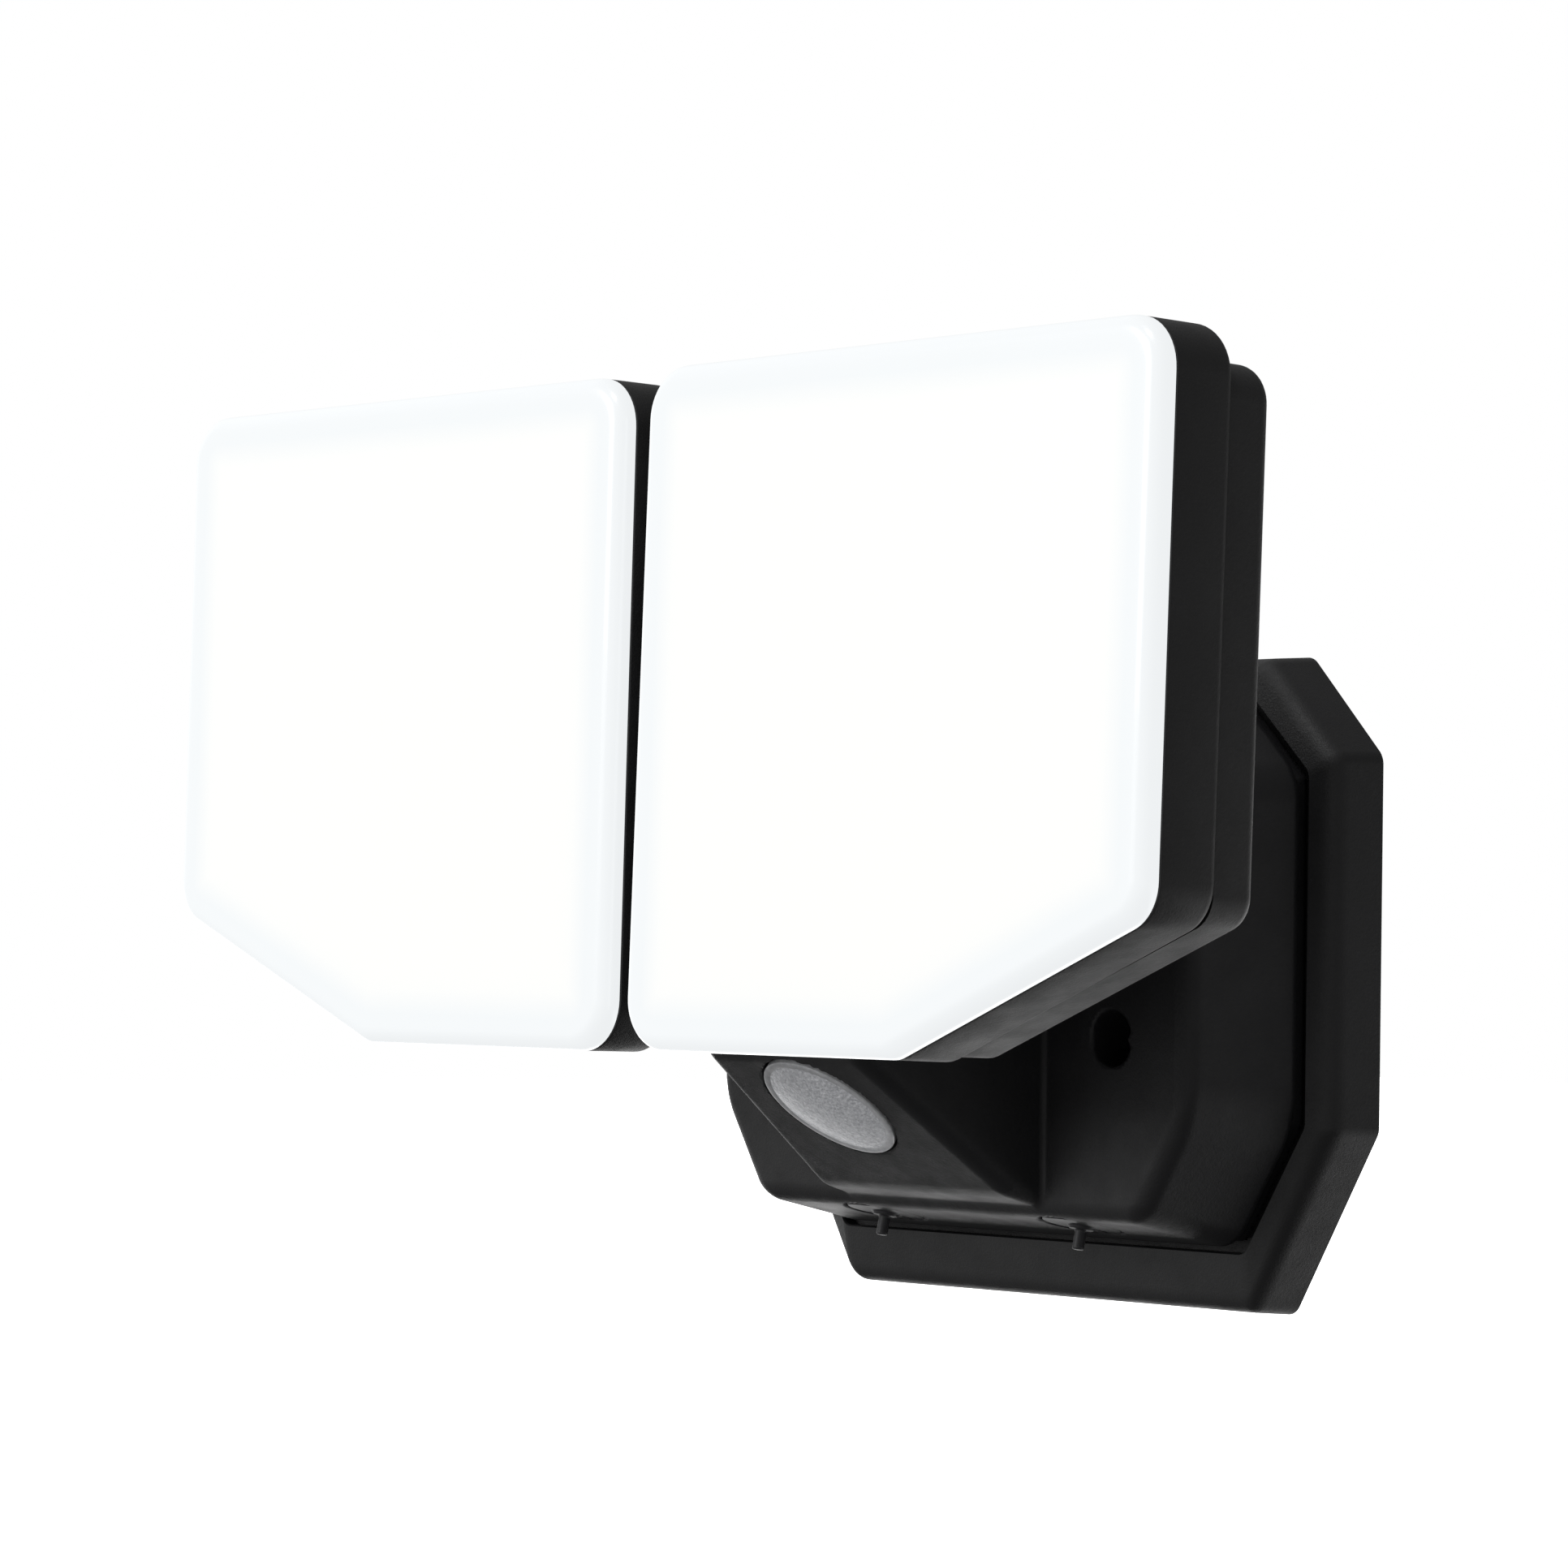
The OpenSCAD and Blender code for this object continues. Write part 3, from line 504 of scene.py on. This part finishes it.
def circuit_board(name, base):
    """Solder mask with a faint pattern of tracks underneath"""
    mat, tree, bsdf = material(name, base, 0.35, coat=0.2)
    tracks = node(tree, "ShaderNodeTexBrick", Scale=160.0)
    tracks.inputs["Color1"].default_value = (*base, 1)
    tracks.inputs["Color2"].default_value = (*[c * 1.15 for c in base], 1)
    tracks.inputs["Mortar"].default_value = (*[c * 0.7 for c in base], 1)
    tree.links.new(position(tree), tracks.inputs["Vector"])
    tree.links.new(tracks.outputs["Color"], bsdf.inputs["Base Color"])
    bump(tree, tracks.outputs["Fac"], bsdf, 0.2, 0.00005)
    return mat


MATERIALS = {
    "tray_plastic": grained_plastic("tray_plastic", (0.0095, 0.0095, 0.0102)),
    "shell_plastic": grained_plastic("shell_plastic", (0.0085, 0.0085, 0.0095)),
    "head_plastic": grained_plastic("head_plastic", (0.0115, 0.0115, 0.012)),
    "knuckle_plastic": grained_plastic("knuckle_plastic", (0.010, 0.010, 0.011)),
    "dial_plastic": grained_plastic("dial_plastic", (0.022, 0.022, 0.024), 0.42, 0.2),
    "inner_plastic": coloured("inner_plastic", (0.03, 0.03, 0.033), 0.5),
    "opal_diffuser": opal_plastic(),
    "sensor_lens": frosted_lens(),
    "rubber": coloured("rubber", (0.012, 0.012, 0.013), 0.8, 0.3),
    "steel": metal("steel", (0.62, 0.63, 0.65), 0.3),
    "zinc": metal("zinc", (0.42, 0.43, 0.45), 0.42),
    "circuit_board": circuit_board("circuit_board", (0.02, 0.12, 0.05)),
    "led_board": circuit_board("led_board", (0.82, 0.82, 0.80)),
    "led_phosphor": coloured("led_phosphor", (0.85, 0.70, 0.28), 0.35),
    "winding_tape": coloured("winding_tape", (0.62, 0.42, 0.07), 0.4),
    "capacitor_sleeve": coloured("capacitor_sleeve", (0.03, 0.05, 0.14), 0.3),
    "relay_case": coloured("relay_case", (0.04, 0.13, 0.36), 0.35),
    "pot_case": coloured("pot_case", (0.04, 0.13, 0.33), 0.4),
    "terminal_plastic": coloured("terminal_plastic", (0.76, 0.76, 0.72), 0.45),
}
SLOT_OF = {s["node"]: s["material_slot"] for s in frame["record"]["subparts"]}


def dress(obj, slot, *extra):
    obj.data.materials.clear()
    obj.data.materials.append(MATERIALS[slot])
    for mat in extra:
        obj.data.materials.append(mat)
    return obj


def finish_piece(obj, body, slot, *nodes, extra=()):
    dress(obj, slot, *extra)
    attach(obj, body)
    if nodes:
        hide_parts(*nodes)
    return obj


# ---------------------------------------------------------------- lamp heads

def turn_knuckle(obj, side):
    """Turn a piece about its pan axis, as the CAD draws the two heads slightly apart"""
    sign = SIDES[side]
    axis = JOINTS["tilt_" + side]["axis"]
    turn = math.atan2(-sign * axis[1], -axis[0])
    pivot = Matrix.Translation(to_frame((PAN_X * sign, PAN_DEPTH, PIVOT_H)))
    obj.data.transform(pivot @ Matrix.Rotation(sign * turn, 4, "Z") @ pivot.inverted())


def turn_head(obj, side):
    """Tilt a piece about its level axis, then turn it with its knuckle"""
    pivot = Matrix.Translation(to_frame((0, TILT_DEPTH, PIVOT_H)))
    tilt = Matrix.Rotation(math.radians(-REST_TILT[side]), 4, "X")
    obj.data.transform(pivot @ tilt @ pivot.inverted())
    turn_knuckle(obj, side)


def head_corners():
    x0, x1 = HEAD_GAP / 2, HEAD_GAP / 2 + HEAD_W
    h0, h1 = HEAD_LO, HEAD_LO + HEAD_H
    return [(x0, h0), (x1 - HEAD_CHAMFER[0], h0), (x1, h0 + HEAD_CHAMFER[1]), (x1, h1), (x0, h1)]


def cover_corners():
    x0, x1 = HEAD_GAP / 2 + COVER_INSET, HEAD_GAP / 2 + HEAD_W - COVER_INSET
    h0, h1 = HEAD_LO + COVER_RISE, HEAD_LO + HEAD_H - COVER_DROP
    corners = head_corners()
    return [(x0, h0), (corners[1][0], h0), (x1, corners[2][1]), (x1, h1), (x0, h1)]


def ring(corners, d, depth, shrink=0.0):
    """Outline inset by d at a depth"""
    radii = [max(r - d - shrink, 0.8) for r in HEAD_RADII]
    return [(p.x, depth, p.y) for p in rounded(inset(corners, d), radii)]


def make_diffuser(side, sign):
    """Opal cap: a flat face, a soft rolled edge and a straight lip inside the housing"""
    roll, flat = 2.6, CAP_DEPTH
    lip = RIM_DEPTH - 4.0
    profile = [(2.85, lip), (2.85, RIM_DEPTH - 0.1), (0.35, RIM_DEPTH), (0.0, RIM_DEPTH + 0.3)]
    profile += fillet(roll, 0.0, flat - roll, 1, 10)
    profile += [(roll + s, flat) for s in (0.8, 2.5, 5.0, 8.0, RIM_WIDTH)]
    rings = [ring(head_corners(), d, depth) for d, depth in profile]
    obj = loft("diffuser_skin_" + side, rings, True, sign)
    insets = [d for d, _ in profile for _ in range(len(rings[0]))]
    # rim is 1 at the outer edge and falls to 0 at RIM_WIDTH in; the opal material paints shade on the rolled edge
    # from it
    rim = obj.data.attributes.new("rim", "FLOAT", "POINT")
    rim.data.foreach_set("value", [max(0.0, 1 - d / RIM_WIDTH) for d in insets])
    turn_head(obj, side)
    return finish_piece(obj, "head_" + side, "opal_diffuser", "diffuser_" + side)


def make_housing(side, sign):
    """Front frame of the head with a soft rear edge"""
    back_r = 1.6
    profile = [(2.75, RIM_DEPTH - 4.0), (2.75, RIM_DEPTH - 0.45), (2.3, RIM_DEPTH), (0.35, RIM_DEPTH),
               (0.1, RIM_DEPTH - 0.12), (0.0, RIM_DEPTH - 0.4)]
    profile += fillet(back_r, 0.0, HOUSING_BACK + back_r, -1, 8)
    profile += [(4.0, HOUSING_BACK), (4.0, HOUSING_BACK + 2.4)]
    rings = [ring(head_corners(), d, depth) for d, depth in profile]
    obj = loft("housing_skin_" + side, rings, True, sign)
    turn_head(obj, side)
    return finish_piece(obj, "head_" + side, "head_plastic", "head_housing_" + side)


def screw_spots():
    """Centres of the screws that hold the rear cover"""
    x0, x1 = HEAD_GAP / 2, HEAD_GAP / 2 + HEAD_W
    h0, h1 = HEAD_LO, HEAD_LO + HEAD_H - COVER_DROP
    gap = COVER_SCREW_GAP
    by_chamfer = (x1 - gap - 8, h0 + HEAD_CHAMFER[1] + 6)
    return [(x0 + gap, h0 + gap), by_chamfer, (x1 - gap, h1 - gap), (x0 + gap, h1 - gap)]


def depth_bore(name, x, h, r, near, far, flare, sign):
    """Cutter along the depth with a small flare where it leaves at near"""
    profile = [(0, near - 1), (r + flare, near - 1), (r + flare, near), (r, near + flare),
               (r, far), (0, far)]
    return lathe(name, [(r_, -d) for r_, d in profile], to_frame((x * sign, 0, h)), (0, 1, 0), 40)


def ear_plate(name, x0, x1, sign):
    """Ear with a round end round the tilt axis, edges broken"""
    def outline(d):
        r = BARREL_R - d
        arc = [(TILT_DEPTH - r * math.sin(t), PIVOT_H + r * math.cos(t))
               for t in (math.pi * i / 24 for i in range(25))]
        return arc + [(COVER_BACK + 1.0, PIVOT_H - r), (COVER_BACK + 1.0, PIVOT_H + r)]
    edge = 0.6
    bevel = ((edge, 0), (0.18, 0.18), (0, edge))
    steps = [(d, x0 + s) for d, s in bevel] + [(d, x1 - s) for d, s in reversed(bevel)]
    rings = [[(x, depth, h) for depth, h in outline(d)] for d, x in steps]
    return loft(name, rings, True, sign)


def make_rear_cover(side, sign):
    """Rear box with rounded edges, two tilt ears, sunk screw holes"""
    edge = 2.2
    profile = [(0.0, HOUSING_BACK - 0.05), (0.0, HOUSING_BACK - 0.3)]
    profile += fillet(edge, 0.0, COVER_BACK + edge, -1, 8)
    rings = [ring(cover_corners(), d, depth, 2.0) for d, depth in profile]
    obj = loft("rear_cover_skin_" + side, rings, True, sign)
    ears = [ear_plate("ear", PAN_X + s0, PAN_X + s1, sign)
            for s0, s1 in ((EAR_IN, EAR_OUT), (-EAR_OUT, -EAR_IN))]
    boolean(obj, ears, "UNION")
    cutters = [depth_bore("cut", x, h, COVER_SCREW_R, COVER_BACK, COVER_BACK + 2.2, 0.35, sign)
               for x, h in screw_spots()]
    bore = [(0, -20), (BOLT_R + 0.02, -20), (BOLT_R + 0.02, 20), (0, 20)]
    cutters.append(lathe("cut", bore, to_frame((PAN_X * sign, TILT_DEPTH, PIVOT_H)), (1, 0, 0), 40))
    boolean(obj, cutters)
    smooth_by_angle(obj, 30)
    turn_head(obj, side)
    return finish_piece(obj, "head_" + side, "head_plastic", "rear_cover_" + side)


# ---------------------------------------------------------------- base shell

def frustum_planes(p, rear, front, grow=0.0):
    """Sides of the shell between its rear and front outlines, on the right half, moved out by grow"""
    q = [np.abs(p[0]), p[1], p[2]]
    inside = (0, 20, 55)
    a = [(x, REAR_DEPTH, h) for x, h in rear]
    b = [(x, FRONT_DEPTH, h) for x, h in front]
    fields = [plane_through(q, a[0], (-a[0][0], *a[0][1:]), b[0], inside)]
    fields += [plane_through(q, a[i], a[i + 1], b[i], inside) for i in range(3)]
    fields.append(plane_through(q, a[3], (-a[3][0], *a[3][1:]), b[3], inside))
    return [f - grow for f in fields]


def nose_field(p, shrink=0.0, edge=2.6):
    """Wedge under the heads that carries the sensor"""
    q = [np.abs(p[0]), p[1], p[2]]
    c, s = math.cos(SENSOR_ANGLE), math.sin(SENSOR_ANGLE)
    face = plane_field(q, (0, c, -s), (0, SENSOR_DEPTH, SENSOR_H))
    foot = plane_field(q, (0, *NOSE_FOOT_NORMAL), (0, *NOSE_FOOT))
    side = plane_field(q, (*NOSE_SIDE_NORMAL, 0), (NOSE_SIDE_X, FRONT_DEPTH, 0))
    tip = q[1] - NOSE_TIP_DEPTH + 0 * q[0]
    top = plane_field(q, (0, *NOSE_TOP_NORMAL), (0, NOSE_TIP_DEPTH, NOSE_TOP_H))
    under = both(0.6, face + shrink, foot + shrink)
    return both(edge, under, side + shrink, tip + shrink, top + shrink)


def pan_ear_field(p):
    """Two level ears on each side, with the bore of the pan bolt"""
    q = [np.abs(p[0]), p[1], p[2] - PIVOT_H]
    radial = np.sqrt((q[0] - PAN_X) ** 2 + np.maximum(q[1] - PAN_DEPTH, 0) ** 2) - BARREL_R
    level = np.abs(np.abs(q[2]) - (EAR_IN + EAR_OUT) / 2) - (EAR_OUT - EAR_IN) / 2
    ear = both(0.7, radial, level, EAR_ROOT_DEPTH - q[1])
    hole, _ = rod_field(q, (PAN_X, PAN_DEPTH, 0), (0, 0, 1), BOLT_R + 0.03)
    return without(0.3, ear, hole)


def shell_sides(p):
    """Outer faces of the shell without its features and its open back"""
    return both(SHELL_EDGE_R, *frustum_planes(p, REAR_OCT, FRONT_OCT), p[1] - FRONT_DEPTH)


def shell_field(p):
    """Front shell with its wedge, hollow, tunnels, pan ears, lens seat and dial dishes"""
    q = [np.abs(p[0]), p[1], p[2]]
    outer = np.maximum(shell_sides(p), REAR_DEPTH - q[1])
    outer = either(0.7, outer, both(0.5, nose_field(p), 27 - q[1]))
    spigot_sides = frustum_planes(p, REAR_OCT, FRONT_OCT, -SPIGOT_INSET)
    spigot = both(0.3, *spigot_sides, SPIGOT_DEPTH - q[1], q[1] - 20)
    solid = np.minimum(outer, spigot)
    hollow_sides = frustum_planes(p, REAR_OCT, FRONT_OCT, -WALL - 0.6)
    hollow = both(1.2, *hollow_sides, q[1] - FRONT_DEPTH + WALL)
    hollow = np.minimum(hollow, both(1.0, nose_field(p, WALL, 1.2), 20 - q[1]))
    tunnel, _ = rod_field(q, (TUNNEL_X, 0, SCREW_H), (0, 1, 0), TUNNEL_R)
    hollow = without(0.4, hollow, tunnel - TUNNEL_WALL)
    seat = disc_field(q, (0, SENSOR_DEPTH, SENSOR_H), face_normal(), LENS_SEAT_R, -4.6, 0)
    hollow = np.maximum(hollow, -seat)
    solid = np.maximum(solid, -hollow)
    solid = either(1.4, solid, pan_ear_field(p))
    rib, _ = rod_field(q, (TUNNEL_X + TUNNEL_R, 0, SCREW_H), (0, 1, 0), 0.9)
    solid = without(0.35, solid, without(0.25, tunnel, rib))
    gap, along = rod_field(q, (0, SENSOR_DEPTH, SENSOR_H), face_normal(), LENS_R + 0.32)
    solid = without(0.3, solid, both(0.1, gap, -2.2 - along))
    dish_axis = (0, -DIAL_AXIS[1], DIAL_AXIS[2])
    dial, dial_along = rod_field(q, (DIAL_X, -DIAL_DEPTH, DIAL_Z + SCREW_H), dish_axis, DISH_R)
    return without(0.35, solid, both(0.3, dial, -DISH_DEPTH - dial_along))


def face_normal():
    """Outward normal of the sensor face, in x, depth, height"""
    return (0, math.cos(SENSOR_ANGLE), -math.sin(SENSOR_ANGLE))


def make_shell():
    step = 0.6
    obj = solid_from_field("shell_skin", shell_field, (-62, 8.4, 8.5), (62, 69, 98.5), step,
                           rim=(REAR_DEPTH, shell_sides))
    return finish_piece(obj, "base", "shell_plastic", "front_shell")


def octagon(half_points):
    """Outline from the corners of its right half, lowest first, counter-clockwise"""
    return half_points + [(-x, h) for x, h in reversed(half_points)]


def make_tray():
    """Tray with a broad sloping rim between a soft outer crease and the groove round the shell"""
    outer = rounded(octagon(TRAY_OCT), [TRAY_CORNER_R] * 8)
    crease = rounded(inset(octagon(TRAY_OCT), 0.6), [TRAY_CORNER_R] * 8)
    lip = rounded(inset(octagon(REAR_OCT), -1.2), [2.4] * 8)
    groove = rounded(inset(octagon(REAR_OCT), -1.0), [2.2] * 8)
    floor = rounded(inset(octagon(REAR_OCT), 2.2), [1.0] * 8)

    def column(i):
        a, b, c = [Vector((q[i].x, depth, q[i].y)) for q, depth in
                   ((outer, 0.0), (crease, 10.0), (lip, TRAY_DEPTH))]
        start, finish = [b + (end - b).normalized() * TRAY_SOFT_EDGE for end in (a, c)]
        bend = [start * (1 - t) ** 2 + b * 2 * t * (1 - t) + finish * t * t
                for t in (k / 8 for k in range(9))]
        near_lip = c + (b - c).normalized() * 0.5
        inner = [Vector((groove[i].x, depth, groove[i].y))
                 for depth in (TRAY_DEPTH - 0.3, GROOVE_DEPTH)]
        base = [Vector((floor[i].x, depth, floor[i].y))
                for depth in (GROOVE_DEPTH, TRAY_FLOOR_DEPTH)]
        edge = Vector((outer[i].x, 0.35, outer[i].y))
        return [edge] + bend + [near_lip, c] + inner + base

    columns = [column(i) for i in range(len(outer))]
    foot = [(p.x, 0.0, p.y) for p in rounded(inset(octagon(TRAY_OCT), 0.3), [2.8] * 8)]
    rings = [foot] + [[tuple(col[k]) for col in columns] for k in range(len(columns[0]))]
    obj = loft("tray_skin", rings, True)
    hole = [(0, -4), (WALL_SCREW_R, -4), (WALL_SCREW_R, 1), (0, 1)]
    cutters = [lathe("cut", hole, to_frame((x, 0, SCREW_H)), (0, 1, 0), 48)
               for x in (-TUNNEL_X, TUNNEL_X)]
    sink = [(0, -4), (1.7, -4), (1.7, -1.6), (3.1, -1.6), (3.1, -0.2), (3.3, 0.1), (3.3, 1), (0, 1)]
    cutters += [lathe("cut", sink, to_frame((x, 0, h)), (0, 1, 0), 48)
                for x in (TRAY_SCREW_X, -TRAY_SCREW_X) for h in TRAY_SCREW_H]
    flared = GROMMET_R + 0.2
    entry = [(0, -4), (GROMMET_R, -4), (GROMMET_R, -0.2), (flared, 0.1), (flared, 1), (0, 1)]
    cutters.append(lathe("cut", entry, to_frame((0, 0, GROMMET_H)), (0, 1, 0), 64))
    near, far = GASKET_INSET, GASKET_INSET + GASKET_WIDTH
    channel = [[(p.x, depth, p.y) for p in inset(octagon(TRAY_OCT), d)]
               for d, depth in ((near, -1.0), (near, GASKET_DEPTH), (far, GASKET_DEPTH), (far, -1.0))]
    cutters.append(loft("cut", channel, False))
    boolean(obj, cutters)
    smooth_by_angle(obj, 30)
    return finish_piece(obj, "base", "tray_plastic", "wall_tray")


def make_knuckle(side, sign):
    """Upright and level barrels joined by a web, with a bore through each"""
    def field(p):
        q = [p[0] - PAN_X, p[1], p[2] - PIVOT_H]
        up, z = rod_field(q, (0, PAN_DEPTH, 0), (0, 0, 1), BARREL_R)
        level, x = rod_field(q, (0, TILT_DEPTH, 0), (1, 0, 0), BARREL_R)
        upright = both(0.7, up, np.abs(z) - BARREL_HALF)
        cross = both(0.7, level, np.abs(x) - BARREL_HALF)
        web = both(1.5, np.abs(q[0]) - 6, np.abs(q[2]) - 6, q[1] - TILT_DEPTH, PAN_DEPTH - q[1])
        solid = either(2.2, either(2.2, upright, web), cross)
        solid = without(0.35, solid, up + BARREL_R - BOLT_R - 0.04)
        return without(0.35, solid, level + BARREL_R - BOLT_R - 0.04)
    lo = (PAN_X - 10.5, PAN_DEPTH - 10.5, PIVOT_H - 10.5)
    hi = (PAN_X + 10.5, TILT_DEPTH + 10.5, PIVOT_H + 10.5)
    obj = solid_from_field("knuckle_skin_" + side, field, lo, hi, 0.45, sign)
    turn_knuckle(obj, side)
    return finish_piece(obj, "knuckle_" + side, "knuckle_plastic", "knuckle_" + side)


# ---------------------------------------------------------------- sensor lens and dials

def make_lens():
    """Flat bright rim, a fine step and a frosted dome"""
    rim_in = LENS_R - 1.25
    dome_h, seat = 1.45, -2.1
    profile = [(0, seat), (LENS_R, seat), (LENS_R, 0.05), (LENS_R - 0.12, 0.22), (LENS_R - 0.3, 0.28),
               (rim_in + 0.12, 0.28), (rim_in, 0.2)]
    ball = (rim_in ** 2 + dome_h ** 2) / (2 * dome_h)
    for i in range(1, 16):
        r = rim_in * (1 - i / 15)
        profile.append((r, 0.2 + math.sqrt(ball ** 2 - r ** 2) - (ball - dome_h)))
    n = face_normal()
    centre = to_frame((0, SENSOR_DEPTH, SENSOR_H))
    obj = lathe("lens_skin", profile, centre, (n[0], -n[1], n[2]), 128)
    finish_piece(obj, "base", "sensor_lens", "pir_lens", extra=(lens_rim(),))
    for poly in obj.data.polygons:
        if (poly.center - centre).length > (rim_in - 0.05) * MM:
            poly.material_index = 1
    return obj


def make_dial(name, sign):
    """Sunk disc with a pointer groove and a slim stem"""
    point = Vector((DIAL_X * sign, -DIAL_DEPTH, DIAL_Z + SCREW_H))
    axis = Vector((0, -DIAL_AXIS[1], DIAL_AXIS[2]))
    across = axis.cross(Vector((1, 0, 0)))

    def field(p):
        disc = disc_field(p, point, axis, 6.4, -1.6, -0.1, 0.35)
        collar = disc_field(p, point, axis, 2.1, -0.6, 0.5, 0.35)
        stem = disc_field(p, point, axis, 0.95, -1, 3.7, 0.3)
        shaft = disc_field(p, point, axis, 1.5, -10, -1, 0.1)
        q = [p[i] - point[i] for i in range(3)]
        out = sum(q[i] * across[i] for i in range(3))
        along = sum(q[i] * axis[i] for i in range(3))
        groove = both(0.1, np.abs(q[0]) - 0.4, 3.4 - out, -0.6 - along)
        solid = either(0.3, either(0.4, disc, collar), stem)
        return np.minimum(without(0.15, solid, groove), shaft)
    lo = [point[0] - 7, point[1] - 8, point[2] - 5.5]
    hi = [point[0] + 7, point[1] + 8, point[2] + 11.5]
    obj = solid_from_field(name + "_skin", field, lo, hi, 0.28)
    return finish_piece(obj, name, "dial_plastic", name)


# ---------------------------------------------------------------- stage, light and camera
# The floor's glow falls off from x = -0.8 m to 1.2 m. The sky is dimmed below the horizon
# and brightest in one direction. The camera sees both as plain white.

FLOOR_GLOW = {"From Min": -0.8, "From Max": 1.2, "To Min": 2.2, "To Max": 0.5}
SKY_BELOW = {"From Min": -0.55, "From Max": -0.05, "To Min": 0.4, "To Max": 1.0}
SKY_BRIGHTEST = (-0.45, -0.85, 0.25)
SKY_STEPS = [(0.0, 0.12), (0.35, 0.25), (0.6, 0.5), (0.8, 0.75), (1.0, 0.85)]
CAMERA_AT = (0.6807, -0.6156, 0.0129)
CAMERA_TURN = (-51.06, -1.70, 0.85)


def make_stage():
    """Pale floor behind and below the light, in a white studio that is dimmer low down and right"""
    size, start, drop = 14.0, 0.3, 0.42
    verts = [(-size, start, -drop), (size, start, -drop), (size, size, -drop), (-size, size, -drop)]
    floor = new_object("floor", verts, [(0, 1, 2, 3)])
    mat, tree, bsdf = material("floor_paint", (0.9, 0.9, 0.9), 0.9, specular=0.1)
    tree.links.new(ramp(tree, noise(tree, 3, 2), [(0.3, shade(0.22)), (0.7, shade(0.26))]),
                   bsdf.inputs["Base Color"])
    bsdf.inputs["Emission Color"].default_value = (1, 1, 1, 1)
    apart = node(tree, "ShaderNodeSeparateXYZ")
    tree.links.new(position(tree), apart.inputs["Vector"])
    fall = node(tree, "ShaderNodeMapRange")
    tree.links.new(apart.outputs["X"], fall.inputs["Value"])
    for socket, value in FLOOR_GLOW.items():
        fall.inputs[socket].default_value = value
    strength = node(tree, "ShaderNodeMath", operation="MAXIMUM")
    tree.links.new(fall.outputs["Result"], strength.inputs[0])
    tree.links.new(tree.nodes.new("ShaderNodeLightPath").outputs["Is Camera Ray"], strength.inputs[1])
    tree.links.new(strength.outputs[0], bsdf.inputs["Emission Strength"])
    floor.data.materials.append(mat)
    world = bpy.data.worlds.new("studio")
    bpy.context.scene.world = world
    world.use_nodes = True
    tree = world.node_tree
    back = tree.nodes["Background"]
    seen = tree.nodes.new("ShaderNodeLightPath")
    towards = node(tree, "ShaderNodeVectorMath", operation="DOT_PRODUCT")
    towards.inputs[1].default_value = Vector(SKY_BRIGHTEST).normalized()
    direction = tree.nodes.new("ShaderNodeTexCoord").outputs["Generated"]
    tree.links.new(direction, towards.inputs[0])
    below = node(tree, "ShaderNodeSeparateXYZ")
    tree.links.new(direction, below.inputs["Vector"])
    dim = node(tree, "ShaderNodeMapRange")
    tree.links.new(below.outputs["Z"], dim.inputs["Value"])
    for socket, value in SKY_BELOW.items():
        dim.inputs[socket].default_value = value
    strength = node(tree, "ShaderNodeMath", operation="MAXIMUM")
    tree.links.new(dim.outputs["Result"], strength.inputs[0])
    tree.links.new(seen.outputs["Is Camera Ray"], strength.inputs[1])
    tree.links.new(strength.outputs[0], back.inputs["Strength"])
    lift = node(tree, "ShaderNodeMath", operation="MULTIPLY_ADD")
    tree.links.new(towards.outputs["Value"], lift.inputs[0])
    lift.inputs[1].default_value = 0.5
    lift.inputs[2].default_value = 0.5
    sky = ramp(tree, lift.outputs[0], [(place, shade(value)) for place, value in SKY_STEPS])
    mix = node(tree, "ShaderNodeMixRGB", Color2=(1, 1, 1, 1))
    tree.links.new(seen.outputs["Is Camera Ray"], mix.inputs["Fac"])
    tree.links.new(sky, mix.inputs["Color1"])
    tree.links.new(mix.outputs["Color"], back.inputs["Color"])
    bpy.context.scene.view_settings.view_transform = "Standard"


def area_light(name, place, target, size, power):
    data = bpy.data.lights.new(name, "AREA")
    data.shape, data.size, data.energy = "SQUARE", size, power
    lamp = bpy.data.objects.new(name, data)
    lamp.location = place
    lamp.rotation_euler = (Vector(target) - Vector(place)).to_track_quat("-Z", "Y").to_euler()
    bpy.context.scene.collection.objects.link(lamp)


def make_lights():
    centre = (0, -0.05, 0.03)
    area_light("key", (-0.7, -2.0, 0.9), centre, 1.4, 24)
    area_light("top", (0.2, -0.9, 1.5), centre, 0.5, 5)


def make_camera():
    """Eye a little under a metre away, to the right of the lamp and just above the screws"""
    yaw, pitch, roll = [math.radians(angle) for angle in CAMERA_TURN]
    turn = (Matrix.Rotation(roll, 4, "Y") @ Matrix.Rotation(pitch, 4, "X")
            @ Matrix.Rotation(yaw, 4, "Z"))
    data = bpy.data.cameras.new("camera")
    data.sensor_width = 36.0
    data.lens = 128.57
    data.clip_start, data.clip_end = 0.05, 100
    cam = bpy.data.objects.new("camera", data)
    cam.matrix_world = (Matrix.Translation(CAMERA_AT) @ turn.inverted()
                        @ Matrix.Rotation(math.radians(90), 4, "X"))
    bpy.context.scene.collection.objects.link(cam)
    bpy.context.scene.camera = cam


make_camera()
make_stage()
make_lights()
for name, obj in NODES.items():
    dress(obj, SLOT_OF[name])
    smooth_by_angle(obj, 30)
for side, sign in SIDES.items():
    make_diffuser(side, sign)
    make_housing(side, sign)
    make_rear_cover(side, sign)
    make_knuckle(side, sign)
make_tray()
make_shell()
make_lens()
make_dial("time_dial", -1)
make_dial("lux_dial", 1)
